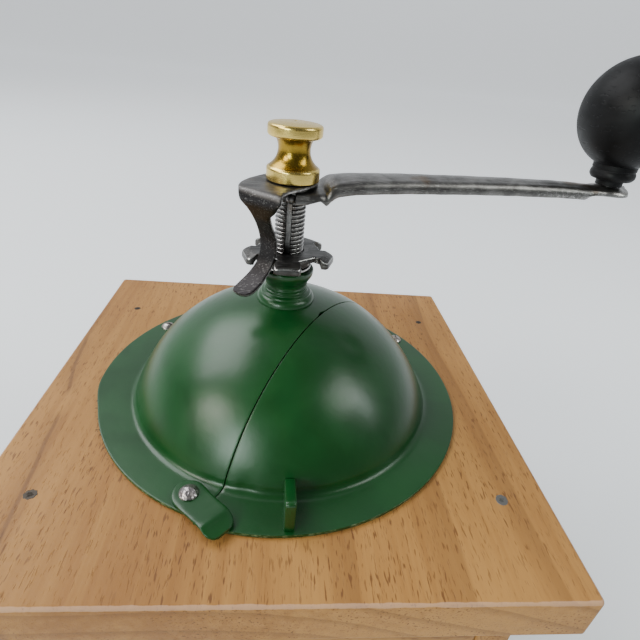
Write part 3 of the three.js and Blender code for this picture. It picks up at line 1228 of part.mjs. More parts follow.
function buildRingBurr() {
  const rowHeight = (row) => mix(RING_BOTTOM, RING_TOP, (row - 2) / BURR_ROWS);
  const segments = RING_TEETH * BURR_STEPS_PER_TOOTH;
  const radiusAt = (row, turn) => {
    if (row < 2) {
      return RING_RADIUS;
    }
    const share = (row - 2) / BURR_ROWS;
    const phase = turn * RING_TEETH - share * 0.8;
    const tooth = 1 - (phase - Math.floor(phase));
    return mix(RING_BORE_BOTTOM_RADIUS, RING_BORE_TOP_RADIUS, share) + RING_TOOTH_DEPTH * tooth;
  };
  const heightAt = (row) => (row < 2 ? [RING_TOP, RING_BOTTOM][row] : rowHeight(row));
  const ring = ringSkin(BURR_ROWS + 3, segments, radiusAt, heightAt);
  const seat = -BOWL_DEPTH + BOWL_SHEET + SEAT_GAP;
  const holeRadius = MILL_SCREW_SHANK_RADIUS + SEAT_GAP;
  const holes = Array.from({ length: MILL_SCREWS }, (_, index) => (
    rod(holeRadius, seat - MILL_SCREW_LENGTH - SEAT_GAP, RING_TOP + CUT_OVERRUN, millScrewAt(index))
  ));
  [-1, 1].forEach((side) => {
    const place = new THREE.Vector2(side * BRIDGE_SCREW_X, 0);
    const top = BRIDGE_BOTTOM - SEAT_GAP + MILL_SCREW_LENGTH + BRIDGE_DROP + SEAT_GAP;
    holes.push(rod(holeRadius, RING_BOTTOM - CUT_OVERRUN, top, place));
  });
  addMesh(crown, 'ring_burr', cut(ring, holes), 'castIron');
}

function buildConeBurr() {
  const bore = GUIDE_RADIUS + SEAT_GAP;
  const segments = CONE_TEETH * BURR_STEPS_PER_TOOTH;
  const heightAt = (row) => (
    row < 2 ? [CONE_TOP, CONE_BOTTOM][row] : mix(CONE_BOTTOM, CONE_TOP, (row - 2) / BURR_ROWS)
  );
  const radiusAt = (row, turn) => {
    if (row < 2) {
      return bore;
    }
    const share = (row - 2) / BURR_ROWS;
    const phase = (turn + (share * CONE_TWIST) / 360) * CONE_TEETH;
    const tooth = phase - Math.floor(phase);
    return mix(CONE_BOTTOM_RADIUS, CONE_TOP_RADIUS, share) - CONE_TOOTH_DEPTH * tooth;
  };
  addMesh(crown, 'cone_burr', ringSkin(BURR_ROWS + 3, segments, radiusAt, heightAt), 'castIron');

  const nut = new THREE.CylinderGeometry(1, 1, CONE_NUT_HEIGHT, 6).rotateX(Math.PI / 2);
  const corner = CONE_NUT_FLATS / 2 / Math.cos(Math.PI / 6);
  nut.scale(corner, corner, 1).translate(0, 0, CONE_BOTTOM - SEAT_GAP - CONE_NUT_HEIGHT / 2);
  const nutBore = rod(PILOT_RADIUS + SEAT_GAP, BRIDGE_BOTTOM, CONE_TOP);
  addMesh(crown, 'cone_nut', cut(nut, [nutBore]), 'steel');
}

function buildBridge() {
  const half = BRIDGE_WIDTH / 2;
  const outer = RING_RADIUS;
  const inner = RING_RADIUS - BRIDGE_FOOT_LENGTH;
  const bar = block([-outer, -half, BRIDGE_BOTTOM], [outer, half, BRIDGE_FOOT_TOP]);
  const relief = block([-inner, -half - CUT_OVERRUN, BRIDGE_TOP], [inner, half + CUT_OVERRUN, CONE_TOP]);
  const bushHole = rod(BUSH_RADIUS + SEAT_GAP, BRIDGE_BOTTOM - CUT_OVERRUN, CONE_TOP, undefined, TURNED_SEGMENTS);
  const screwRadius = MILL_SCREW_SHANK_RADIUS + SEAT_GAP;
  const places = [-1, 1].map((side) => new THREE.Vector2(side * BRIDGE_SCREW_X, 0));
  const holes = places.map((place) => rod(screwRadius, BRIDGE_BOTTOM - CUT_OVERRUN, CONE_TOP, place));
  addMesh(crown, 'lower_bridge', cut(bar, [relief, bushHole, ...holes]), 'castIron');

  const head = [MILL_SCREW_HEAD_RADIUS, MILL_SCREW_HEAD_HEIGHT, MILL_SCREW_SHANK_RADIUS];
  places.forEach((place, index) => {
    const screw = turned(screwProfile(...head, MILL_SCREW_LENGTH + BRIDGE_DROP), HOLE_SEGMENTS);
    screw.rotateX(Math.PI);
    const seat = [place.x, place.y, BRIDGE_BOTTOM - SEAT_GAP];
    addMesh(crown, `bridge_screw_${index + 1}`, screw, 'steel', seat);
  });
  addMesh(crown, 'bridge_bush', turned([
    [PILOT_RADIUS + SEAT_GAP, BRIDGE_BOTTOM],
    [BUSH_RADIUS, BRIDGE_BOTTOM],
    [BUSH_RADIUS, BRIDGE_TOP],
    [PILOT_RADIUS + SEAT_GAP, BRIDGE_TOP],
  ]), 'brass');
}

buildBaseBoard();
buildWalls();
buildTopBoard();
buildDrawer();
buildDome();
buildFin();
buildLatch();
buildDomeScrews();
buildNeck();
buildSpindle();
buildSpring();
buildStarNut();
buildArm();
buildPawl();
buildBrassNut();
buildKnob();
buildBowl();
buildMillScrews();
buildRingBurr();
buildConeBurr();
buildBridge();

export default grinder;
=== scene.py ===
"""Hand cranked box coffee grinder with a domed hopper, dressed and lit for a view from above its front.

Sizes are millimetres in the classes and metres in the meshes. The box and the drawer measure heights from the
floor, and all other classes from the top board's upper face.
"""

from __future__ import annotations

import json
import logging
from dataclasses import dataclass, field
from enum import Enum
from typing import Sequence

import bmesh
import bpy
import numpy as np
from mathutils import Matrix, Vector

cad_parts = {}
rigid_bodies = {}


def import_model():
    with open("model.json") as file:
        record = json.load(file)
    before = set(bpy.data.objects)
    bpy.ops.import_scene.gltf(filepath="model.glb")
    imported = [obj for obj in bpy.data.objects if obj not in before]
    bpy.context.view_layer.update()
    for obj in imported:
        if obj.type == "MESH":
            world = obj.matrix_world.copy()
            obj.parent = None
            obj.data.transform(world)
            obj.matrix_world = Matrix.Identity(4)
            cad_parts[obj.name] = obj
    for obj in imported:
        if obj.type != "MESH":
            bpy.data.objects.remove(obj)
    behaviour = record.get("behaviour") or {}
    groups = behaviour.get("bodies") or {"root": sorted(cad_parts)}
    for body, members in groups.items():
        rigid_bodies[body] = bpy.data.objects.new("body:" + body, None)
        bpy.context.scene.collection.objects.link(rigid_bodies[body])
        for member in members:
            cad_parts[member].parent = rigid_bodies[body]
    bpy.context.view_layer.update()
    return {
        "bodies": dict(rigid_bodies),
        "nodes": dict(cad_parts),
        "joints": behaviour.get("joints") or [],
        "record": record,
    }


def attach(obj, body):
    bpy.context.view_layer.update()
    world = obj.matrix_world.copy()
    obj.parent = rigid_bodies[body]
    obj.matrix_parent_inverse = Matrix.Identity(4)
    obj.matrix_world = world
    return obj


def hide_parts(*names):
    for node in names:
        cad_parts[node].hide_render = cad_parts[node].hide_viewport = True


LOG = logging.getLogger("grinder")
MM = 0.001
BOARD_TOP = 114.6
PAWL_FOLD = 70.3
SHEET_GAP = 0.3
MERGE_DISTANCE_M = 2e-6
SHORTEST_EDGE_M = 1e-7
Array = np.ndarray
Socket = bpy.types.NodeSocket


class Axis(Enum):
    """The world axis that a board's grain runs along."""

    X = 0
    Y = 1
    Z = 2


# Curves and surfaces


def ease(low: float, high: float, at: Array) -> Array:
    """Smooth step: 0 up to low, 1 from high on, with level ends."""
    share = np.clip((at - low) / (high - low), 0.0, 1.0)
    return share * share * (3.0 - 2.0 * share)


def flow(knots: Sequence[float], values: Sequence[float], at: Array) -> Array:
    """Piecewise cubic through the values, whose slopes are harmonic means, so it never overshoots them.

    Args:
        knots: increasing places along the curve.
        values: one value for each knot.
        at: the places to read.

    Returns:
        The values at those places.
    """
    x, y = np.asarray(knots, float), np.asarray(values, float)
    step, rise = np.diff(x), np.diff(y) / np.diff(x)
    same = rise[:-1] * rise[1:] > 0
    total = np.where(same, rise[:-1] + rise[1:], 1.0)
    slopes = np.concatenate([rise[:1], np.where(same, 2 * rise[:-1] * rise[1:] / total, 0.0), rise[-1:]])
    k = np.clip(np.searchsorted(x, at, side="right") - 1, 0, len(step) - 1)
    t = np.clip((at - x[k]) / step[k], 0.0, 1.0)
    left = (1 + 2 * t) * (1 - t) ** 2 * y[k] + t * (1 - t) ** 2 * step[k] * slopes[k]
    return left + t * t * (3 - 2 * t) * y[k + 1] + t * t * (t - 1) * step[k] * slopes[k + 1]


def rounded(points: Sequence[Sequence[float]], cuts: Sequence[float], steps: int = 6, loop: bool = False
            ) -> tuple[Array, Array]:
    """Replaces each corner by a parabola that starts and ends one cut away from it.

    Args:
        points: the corners, as pairs.
        cuts: how far from each corner its curve starts; 0 keeps the corner.
        steps: points on each curve.
        loop: whether the last corner joins the first.

    Returns:
        The path, and a mask that is 1 on the curves.
    """
    p, cut = np.asarray(points, float), np.asarray(cuts, float)
    before, after = np.roll(p, 1, 0) - p, np.roll(p, -1, 0) - p
    if not loop:
        before[0], after[-1] = after[0], before[-1]
    unit = [side / np.maximum(np.linalg.norm(side, axis=1, keepdims=True), 1e-9) for side in (before, after)]
    t = np.linspace(0, 1, steps)[None, :, None]
    start, end = (p + cut[:, None] * side for side in unit)
    path = (1 - t) ** 2 * start[:, None] + 2 * (1 - t) * t * p[:, None] + t * t * end[:, None]
    path, mask = path.reshape(-1, 2), np.repeat((cut > 0).astype(float), steps)
    keep = np.concatenate([[True], np.linalg.norm(np.diff(path, axis=0), axis=1) > 1e-6])
    return path[keep], mask[keep]


def arc(centre: Sequence[float], radius: float, start: float, end: float, steps: int) -> Array:
    """Points on a circle from one angle to another, in degrees."""
    angle = np.radians(np.linspace(start, end, steps))
    return np.stack([centre[0] + radius * np.cos(angle), centre[1] + radius * np.sin(angle)], 1)


def turned(profile: Array, segments: int = 96) -> Array:
    """A profile of (radius, height) carried round the Z axis: x = r cos a, y = r sin a, z = h."""
    angle = np.linspace(0, 2 * np.pi, segments, endpoint=False)
    radius, height = profile[:, :1], profile[:, 1:2]
    return np.stack([radius * np.cos(angle), radius * np.sin(angle), height + 0 * angle], 2)


def placed(points: Array, place: Sequence[float], turn: float = 0.0, tilt: Matrix | None = None) -> Array:
    """Turns points about Z by degrees, after an optional tilt, and moves them to a place."""
    c, s = np.cos(np.radians(turn)), np.sin(np.radians(turn))
    spin = np.array([[c, -s, 0], [s, c, 0], [0, 0, 1]])
    if tilt is not None:
        spin = spin @ np.array(tilt.to_3x3())
    return points @ spin.T + np.asarray(place, float)


def polar(radius: float, azimuth: float) -> Array:
    """A point in the plane, from a radius and an angle in degrees."""
    return radius * np.array([np.cos(np.radians(azimuth)), np.sin(np.radians(azimuth))])


def rounded_box(low: Sequence[float], high: Sequence[float], radius: float, steps: int = 4) -> Array:
    """A box with round edges: the corner that a direction points to, plus the direction times the radius.

    Args:
        low: lowest corner.
        high: highest corner.
        radius: the edges' radius.
        steps: points on a quarter of an edge.

    Returns:
        A grid of points from the bottom face to the top one.
    """
    low, high = np.asarray(low, float), np.asarray(high, float)
    quarter = np.linspace(0, np.pi / 2, steps)
    around = np.concatenate([quarter + k * np.pi / 2 for k in range(4)])
    side_x = np.repeat([1.0, -1.0, -1.0, 1.0], steps)
    side_y = np.repeat([1.0, 1.0, -1.0, -1.0], steps)
    rise = np.concatenate([quarter - np.pi / 2, quarter])
    side_z = np.repeat([-1.0, 1.0], steps)
    half, centre = (high - low) / 2 - radius, (high + low) / 2
    out = np.cos(rise)[:, None]
    x = half[0] * side_x + radius * out * np.cos(around)
    y = half[1] * side_y + radius * out * np.sin(around)
    z = (half[2] * side_z + radius * np.sin(rise))[:, None] + 0 * x
    body = np.stack([x, y, z], 2) + centre
    low_cap, high_cap = body[:1].copy(), body[-1:].copy()
    low_cap[..., :2], high_cap[..., :2] = centre[:2], centre[:2]
    return np.concatenate([low_cap, body, high_cap])


def grid_quads(rows: int, columns: int, wrap_rows: bool = False,
               wrap_columns: bool = False) -> list[list[int]]:
    """The quads between neighbouring points of a grid.

    Args:
        rows: the grid's rows.
        columns: the grid's columns.
        wrap_rows: the last row joins the first.
        wrap_columns: the last column joins the first.

    Returns:
        Four point numbers for each quad.
    """
    r = np.arange(rows if wrap_rows else rows - 1)[:, None]
    c = np.arange(columns if wrap_columns else columns - 1)[None, :]
    up, on = (r + 1) % rows, (c + 1) % columns
    corners = [r * columns + c, r * columns + on, up * columns + on, up * columns + c]
    return np.stack(corners, 2).reshape(-1, 4).tolist()


def new_piece(name: str, grid: Array, body: str, finish: bpy.types.Material,
              replaces: Sequence[str] = (), wrap_rows: bool = False, wrap_columns: bool = True,
              wear: Array | None = None, crease: float = 38.0, open_skin: bool = False) -> bpy.types.Object:
    """Skins a grid of points with quads, merges what coincides and hands the piece to its body.

    Args:
        name: the piece's name.
        grid: rows x columns x 3, in millimetres.
        body: the CAD body that it rides on.
        finish: its material.
        replaces: CAD nodes that it stands for.
        wrap_rows: the last row joins the first.
        wrap_columns: the last column joins the first.
        wear: how exposed each point is, 0 to 1, for the worn edges.
        crease: faces that meet at more degrees than this keep a hard edge.
        open_skin: the grid is one side of a sheet, whose thickness comes later.

    Returns:
        The piece.
    """
    rows, columns = grid.shape[:2]
    mesh = bpy.data.meshes.new(name)
    quads = grid_quads(rows, columns, wrap_rows, wrap_columns)
    mesh.from_pydata((grid.reshape(-1, 3) * MM).tolist(), [], quads)
    shown = np.zeros(rows * columns) if wear is None else np.broadcast_to(wear, (rows, columns)).ravel()
    mesh.attributes.new("wear", "FLOAT", "POINT").data.foreach_set("value", shown.astype(np.float32))
    work = bmesh.new()
    work.from_mesh(mesh)
    bmesh.ops.remove_doubles(work, verts=work.verts, dist=MERGE_DISTANCE_M)
    bmesh.ops.dissolve_degenerate(work, edges=work.edges, dist=SHORTEST_EDGE_M)
    bmesh.ops.recalc_face_normals(work, faces=work.faces)
    if open_skin and sum(f.normal.z * f.calc_area() for f in work.faces) < 0:
        bmesh.ops.reverse_faces(work, faces=work.faces)
    work.to_mesh(mesh)
    work.free()
    mesh.shade_smooth()
    mesh.set_sharp_from_angle(angle=np.radians(crease))
    mesh.materials.append(finish)
    piece = bpy.data.objects.new(name, mesh)
    bpy.context.scene.collection.objects.link(piece)
    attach(piece, body)
    if replaces:
        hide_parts(*replaces)
    LOG.info("%s: %d faces on %s", name, len(mesh.polygons), body)
    return piece


# Shader building


class Tree:
    """Adds nodes to one node tree."""

    def __init__(self, tree: bpy.types.NodeTree) -> None:
        """Keeps the tree that the nodes go into."""
        self.tree = tree

    def add(self, kind: str, inputs: dict[str | int, object] | None = None,
            **settings: object) -> bpy.types.Node:
        """A node of a kind, with its settings and inputs, each a value or a socket to link.

        Args:
            kind: the node's Blender type, without the ShaderNode in front.
            inputs: value or socket for each input, by name or number.
            settings: the node's own properties.

        Returns:
            The node.
        """
        node = self.tree.nodes.new(f"ShaderNode{kind}")
        for key, value in settings.items():
            setattr(node, key, value)
        for key, value in (inputs or {}).items():
            if isinstance(value, bpy.types.NodeSocket):
                self.tree.links.new(value, node.inputs[key])
            else:
                node.inputs[key].default_value = value
        return node

    def math(self, operation: str, *values: float | Socket, clamp: bool = False) -> Socket:
        """One Math node on numbers or sockets."""
        return self.add("Math", dict(enumerate(values)), operation=operation, use_clamp=clamp).outputs[0]

    def length(self, first: Socket, second: Socket) -> Socket:
        """The length of a flat vector of two parts."""
        square = self.math("ADD", self.math("MULTIPLY", first, first), self.math("MULTIPLY", second, second))
        return self.math("SQRT", square)

    def noise(self, vector: Socket, scale: float | Socket, detail: float = 3.0, rough: float = 0.5,
              distortion: float = 0.0) -> Socket:
        """The value of a noise texture."""
        inputs = {"Vector": vector, "Scale": scale, "Detail": detail, "Roughness": rough,
                  "Distortion": distortion}
        return self.add("TexNoise", inputs).outputs["Fac"]

    def stretch(self, vector: Socket, scale: Sequence[float], offset: Sequence[float] = (0, 0, 0),
                turn: Sequence[float] = (0, 0, 0)) -> Socket:
        """The vector through a Mapping node."""
        inputs = {"Vector": vector, "Scale": scale, "Location": offset, "Rotation": turn}
        return self.add("Mapping", inputs).outputs[0]

    def band(self, value: Socket, low: float, high: float) -> Socket:
        """Smooth step of a value from 0 at low to 1 at high; low above high turns it round."""
        start, end, to_low, to_high = (low, high, 0.0, 1.0) if low < high else (high, low, 1.0, 0.0)
        inputs = {"Value": value, "From Min": start, "From Max": end, "To Min": to_low, "To Max": to_high}
        return self.add("MapRange", inputs, interpolation_type="SMOOTHSTEP").outputs["Result"]

    def mix(self, share: float | Socket, first: object, second: object) -> Socket:
        """Mixes two colours."""
        node = self.add("Mix", {"Factor": share}, data_type="RGBA")
        for index, value in ((6, first), (7, second)):
            if isinstance(value, bpy.types.NodeSocket):
                self.tree.links.new(value, node.inputs[index])
            else:
                node.inputs[index].default_value = (*value, 1.0)
        return node.outputs[2]

    def split(self, vector: Socket) -> tuple[Socket, Socket, Socket]:
        """The three parts of a vector."""
        node = self.add("SeparateXYZ", {0: vector})
        return node.outputs[0], node.outputs[1], node.outputs[2]


def new_group(name: str, inputs: dict[str, float], outputs: dict[str, str]) -> tuple[Tree, dict, dict]:
    """Starts a shader node group with a vector input, float inputs and named outputs.

    Args:
        name: the group's name.
        inputs: each float input's name and first value.
        outputs: each output's name and socket type.

    Returns:
        Its tree, the sockets that bring its inputs, and the sockets that its outputs take.
    """
    tree = bpy.data.node_groups.new(name, "ShaderNodeTree")
    tree.interface.new_socket("Vector", in_out="INPUT", socket_type="NodeSocketVector")
    for key, value in inputs.items():
        tree.interface.new_socket(key, in_out="INPUT", socket_type="NodeSocketFloat").default_value = value
    for key, kind in outputs.items():
        tree.interface.new_socket(key, in_out="OUTPUT", socket_type=kind)
    start, end = tree.nodes.new("NodeGroupInput"), tree.nodes.new("NodeGroupOutput")
    return Tree(tree), {s.name: s for s in start.outputs}, {s.name: s for s in end.inputs}


def speckle_group() -> bpy.types.NodeTree:
    """Sparse irregular spots: the Voronoi cells whose random value is under Share, shrunk and made ragged."""
    t, i, o = new_group("speckle", {"Scale": 300.0, "Share": 0.1, "Size": 0.3}, {"Mask": "NodeSocketFloat"})
    ragged = t.noise(i["Vector"], 2200.0, 2.0)
    cell = t.add("TexVoronoi", {"Vector": i["Vector"], "Scale": i["Scale"]})
    chosen = t.math("LESS_THAN", t.split(cell.outputs["Color"])[0], i["Share"])
    edge = t.math("ADD", t.math("MULTIPLY", ragged, 0.35), cell.outputs["Distance"])
    inside = t.math("LESS_THAN", edge, i["Size"])
    t.tree.links.new(t.math("MULTIPLY", chosen, inside), o["Mask"])
    return t.tree


def worn_edge_group() -> bpy.types.NodeTree:
    """The exposed-edge attribute, broken up by noise into rubbed stretches."""
    t, i, o = new_group("worn_edge", {"Amount": 0.5, "Scale": 900.0}, {"Mask": "NodeSocketFloat"})
    exposed = t.add("Attribute", attribute_name="wear").outputs["Fac"]
    broken = t.noise(i["Vector"], i["Scale"], 4.0, 0.65)
    level = t.math("ADD", t.math("MULTIPLY", broken, 0.9), t.math("SUBTRACT", exposed, 1.35))
    raised = t.math("ADD", level, i["Amount"])
    t.tree.links.new(t.math("MULTIPLY", raised, 5.0, clamp=True), o["Mask"])
    return t.tree


def mottle_group() -> bpy.types.NodeTree:
    """Two sizes of cloudy noise laid over each other, for patina and handling marks."""
    t, i, o = new_group("mottle", {"Coarse": 120.0, "Fine": 1400.0},
                        {"Mask": "NodeSocketFloat", "Grit": "NodeSocketFloat"})
    cloud = t.noise(i["Vector"], i["Coarse"], 5.0, 0.6, 0.4)
    grit = t.noise(i["Vector"], i["Fine"], 3.0, 0.6)
    t.tree.links.new(t.band(cloud, 0.36, 0.66), o["Mask"])
    t.tree.links.new(grit, o["Grit"])
    return t.tree


def scratch_group() -> bpy.types.NodeTree:
    """Fine lines in two directions: noise drawn out long one way, thresholded thin."""
    t, i, o = new_group("scratches", {"Amount": 0.5}, {"Mask": "NodeSocketFloat"})
    marks = []
    for turn, offset in (((0.2, 0.3, 0.5), 3.0), ((0.1, -0.4, -0.9), 11.0)):
        drawn = t.stretch(i["Vector"], (60.0, 3000.0, 3000.0), (offset, 0, 0), turn)
        marks.append(t.band(t.noise(drawn, 1.0, 1.0), 0.64, 0.7))
    both = t.math("ADD", marks[0], marks[1], clamp=True)
    t.tree.links.new(t.math("MULTIPLY", both, i["Amount"]), o["Mask"])
    return t.tree


def beech_group() -> bpy.types.NodeTree:
    """Beech along the vector's Y: growth rings about a far pith, pale bands, and short dark ray flecks.

    The rings are the distance to a line along Y, warped by slow noise and folded into a saw whose steep side
    is the dark late wood.
    """
    t, i, o = new_group("beech_grain", {"Ring": 5.2, "Pith X": -0.03, "Pith Z": -0.11},
                        {"Light": "NodeSocketFloat", "Late": "NodeSocketFloat", "Fleck": "NodeSocketFloat",
                         "Pore": "NodeSocketFloat", "Height": "NodeSocketFloat"})
    slow = t.noise(t.stretch(i["Vector"], (14.0, 3.5, 14.0)), 1.0, 2.0, 0.4)
    fine = t.noise(t.stretch(i["Vector"], (90.0, 9.0, 90.0)), 1.0, 2.0, 0.5)
    x, _, z = t.split(i["Vector"])
    from_x = t.math("SUBTRACT", x, i["Pith X"])
    from_z = t.math("SUBTRACT", z, i["Pith Z"])
    radius = t.length(from_x, from_z)
    warped = t.math("ADD", t.math("MULTIPLY", radius, 1000.0),
                    t.math("ADD", t.math("MULTIPLY", slow, 16.0), t.math("MULTIPLY", fine, 1.1)))
    phase = t.math("FRACT", t.math("DIVIDE", warped, i["Ring"]))
    late = t.band(phase, 0.62, 0.98)
    sharp = t.math("MULTIPLY", late, t.band(phase, 1.0, 0.96))
    streaks = t.noise(t.stretch(i["Vector"], (420.0, 14.0, 420.0)), 1.0, 3.0, 0.6)
    cloud = t.noise(t.stretch(i["Vector"], (26.0, 8.0, 26.0), (0.3, 0.7, 0.1)), 1.0, 3.0, 0.55)
    dash = t.noise(t.stretch(i["Vector"], (1500.0, 260.0, 1500.0)), 1.0, 1.0, 0.4)
    patch = t.noise(t.stretch(i["Vector"], (60.0, 30.0, 60.0), (1.3, 0.2, 0.5)), 1.0, 2.0)
    fleck = t.math("MULTIPLY", t.band(dash, 0.6, 0.7), t.band(patch, 0.35, 0.6))
    pore = t.band(t.noise(t.stretch(i["Vector"], (3200.0, 330.0, 3200.0)), 1.0, 1.0), 0.62, 0.72)
    light = t.math("ADD", t.math("MULTIPLY", cloud, 0.62), t.math("MULTIPLY", streaks, 0.38))
    height = t.math("SUBTRACT", t.math("MULTIPLY", streaks, 0.5), t.math("MULTIPLY", pore, 0.6))
    results = {"Light": light, "Late": sharp, "Fleck": fleck, "Pore": pore, "Height": height}
    for name, socket in results.items():
        t.tree.links.new(socket, o[name])
    return t.tree


class Groups:
    """The shared node groups, built once."""

    def __init__(self) -> None:
        """Builds each group."""
        self.speckle = speckle_group()
        self.worn_edge = worn_edge_group()
        self.mottle = mottle_group()
        self.scratches = scratch_group()
        self.beech = beech_group()


# Finishes


@dataclass(frozen=True)
class Finish:
    """A surface finish. Colours are linear, sizes are metres."""

    groups: Groups
    name: str

    def start(self, **constants: object) -> tuple[bpy.types.Material, Tree, bpy.types.Node, Socket]:
        """A new material with its Principled shader and the piece's own coordinates.

        Args:
            constants: shader inputs that are the same all over, with _ for spaces in their names.

        Returns:
            The material, its tree, the shader and the coordinates.
        """
        material = bpy.data.materials.new(self.name)
        material.use_nodes = True
        t = Tree(material.node_tree)
        shader = material.node_tree.nodes["Principled BSDF"]
        for key, value in constants.items():
            shader.inputs[key.replace("_", " ")].default_value = value
        where = t.add("TexCoord").outputs["Object"]
        return material, t, shader, where

    def group(self, t: Tree, group: bpy.types.NodeTree, where: Socket,
              **values: float | Socket) -> bpy.types.Node:
        """Places a shared group in a tree and sets its inputs, with _ for spaces in their names."""
        node = t.tree.nodes.new("ShaderNodeGroup")
        node.node_tree = group
        t.tree.links.new(where, node.inputs["Vector"])
        for key, value in values.items():
            socket = node.inputs[key.replace("_", " ")]
            if isinstance(value, bpy.types.NodeSocket):
                t.tree.links.new(value, socket)
            else:
                socket.default_value = value
        return node

    def bump(self, t: Tree, shader: bpy.types.Node, height: Socket, depth: float) -> None:
        """Feeds a height to the shader's normal, through a Bump node of a depth in metres."""
        node = t.add("Bump", {"Height": height, "Distance": depth, "Strength": 1.0})
        t.tree.links.new(node.outputs[0], shader.inputs["Normal"])

    def wire(self, t: Tree, shader: bpy.types.Node, **sockets: Socket) -> None:
        """Links sockets to the shader's inputs, with _ for spaces in their names."""
        for key, socket in sockets.items():
            t.tree.links.new(socket, shader.inputs[key.replace("_", " ")])


@dataclass(frozen=True)
class Enamel(Finish):
    """Deep green stove enamel with orange peel, pinhole chips and rubbed edges."""

    colour: tuple[float, float, float] = (0.0042, 0.062, 0.0105)
    deep: tuple[float, float, float] = (0.0028, 0.046, 0.0075)
    primer: tuple[float, float, float] = (0.15, 0.22, 0.11)
    roughness: float = 0.28
    clouding: float = 0.05
    dust_dulling: float = 0.15
    peel_scale: float = 430.0
    relief: float = 0.00006

    def material(self) -> bpy.types.Material:
        """Builds the enamel."""
        m, t, shader, where = self.start(Specular_IOR_Level=0.5)
        mottle = self.group(t, self.groups.mottle, where, Coarse=45.0, Fine=520.0)
        chips = self.group(t, self.groups.speckle, where, Scale=210.0, Share=0.008, Size=0.12)
        edge = self.group(t, self.groups.worn_edge, where, Amount=-0.08, Scale=700.0)
        dust = self.group(t, self.groups.speckle, where, Scale=900.0, Share=0.03, Size=0.22)
        paint = t.mix(mottle.outputs["Mask"], self.deep, self.colour)
        bare = t.math("MAXIMUM", chips.outputs["Mask"], edge.outputs["Mask"])
        self.wire(t, shader, Base_Color=t.mix(bare, paint, self.primer))
        clouded = t.math("MULTIPLY", mottle.outputs["Mask"], self.clouding)
        dusty = t.math("MULTIPLY", dust.outputs["Mask"], self.dust_dulling)
        self.wire(t, shader, Roughness=t.math("ADD", t.math("ADD", self.roughness, clouded), dusty))
        peel = t.noise(where, self.peel_scale, 2.0, 0.5)
        grains = t.math("MULTIPLY", dust.outputs["Mask"], 0.35)
        height = t.math("SUBTRACT", t.math("ADD", t.math("MULTIPLY", peel, 0.5), grains), bare)
        self.bump(t, shader, height, self.relief)
        return m


@dataclass(frozen=True)
class Steel(Finish):
    """Oiled tool steel: dark patina in clouds, fine scratches, bright rubbed edges, and, when given a height,
    painted shade with a painted reflection of wood below it.
    """

    dark: tuple[float, float, float] = (0.075, 0.070, 0.068)
    light: tuple[float, float, float] = (0.215, 0.207, 0.20)
    bright: tuple[float, float, float] = (0.52, 0.505, 0.49)
    tint: tuple[float, float, float] = (0.16, 0.085, 0.03)
    roughness: float = 0.36
    edge: float = 0.42
    pit: tuple[float, float, float] = (0.03, 0.027, 0.025)
    # The next three: painted shade on the pawl's tongue below a height, and a painted brown reflection of the
    # wood in a band on it.
    painted_shade: tuple[float, float, float] = (0.022, 0.020, 0.021)
    painted_wood_reflection: tuple[float, float, float] = (0.075, 0.042, 0.016)
    painted_shade_below: float = 0.0
    relief: float = 0.00003

    def painted_shade_and_reflection(self, t: Tree, where: Socket, steel: Socket) -> tuple[Socket, Socket]:
        """Painted shade below a height, with a painted brown reflection of the wood in a band under its upper
        end.

        Args:
            t: the material's tree.
            where: the piece's own coordinates.
            steel: the colour that the painted shade lies over.

        Returns:
            The colour, and the mask of what is painted in shade.
        """
        height = t.split(where)[2]
        low = t.band(height, self.painted_shade_below + 0.0008, self.painted_shade_below - 0.0012)
        band = t.math("MULTIPLY", t.band(height, self.painted_shade_below - 0.0085, self.painted_shade_below - 0.0065),
                      t.band(height, self.painted_shade_below - 0.0025, self.painted_shade_below - 0.0045))
        dark = t.mix(t.math("MULTIPLY", low, 0.92), steel, self.painted_shade)
        return t.mix(t.math("MULTIPLY", band, 0.5), dark, self.painted_wood_reflection), low

    def material(self) -> bpy.types.Material:
        """Builds the steel."""
        m, t, shader, where = self.start(Metallic=1.0)
        mottle = self.group(t, self.groups.mottle, where, Coarse=150.0, Fine=1700.0)
        lines = self.group(t, self.groups.scratches, where, Amount=0.6)
        edge = self.group(t, self.groups.worn_edge, where, Amount=self.edge, Scale=1300.0)
        pits = self.group(t, self.groups.speckle, where, Scale=650.0, Share=0.1, Size=0.2)
        clouds = t.math("ADD", t.math("MULTIPLY", mottle.outputs["Mask"], 0.65),
                        t.math("MULTIPLY", mottle.outputs["Grit"], 0.35))
        patina = t.mix(clouds, self.dark, self.light)
        stain = t.band(t.noise(t.stretch(where, (1, 1, 1), (0.37, 0.11, 0.05)), 90.0, 2.0), 0.6, 0.72)
        warm = t.mix(t.math("MULTIPLY", stain, 0.5), patina, self.tint)
        colour = t.mix(t.math("MULTIPLY", pits.outputs["Mask"], 0.7), warm, self.pit)
        rubbed = t.math("MAXIMUM", edge.outputs["Mask"], t.math("MULTIPLY", lines.outputs["Mask"], 0.5))
        # Painted shade and a painted reflection of the wood on the tongue below the fold; the rubbed edges
        # fade there too.
        if self.painted_shade_below:
            colour, low = self.painted_shade_and_reflection(t, where, colour)
            rubbed = t.math("MULTIPLY", rubbed, t.math("SUBTRACT", 1.0, t.math("MULTIPLY", low, 0.55)))
        self.wire(t, shader, Base_Color=t.mix(rubbed, colour, self.bright))
        rough = t.math("ADD", self.roughness - 0.08, t.math("MULTIPLY", mottle.outputs["Grit"], 0.2))
        self.wire(t, shader, Roughness=t.math("SUBTRACT", rough, t.math("MULTIPLY", rubbed, 0.08)))
        height = t.math("SUBTRACT", mottle.outputs["Grit"],
                        t.math("ADD", lines.outputs["Mask"], pits.outputs["Mask"]))
        self.bump(t, shader, height, self.relief)
        return m


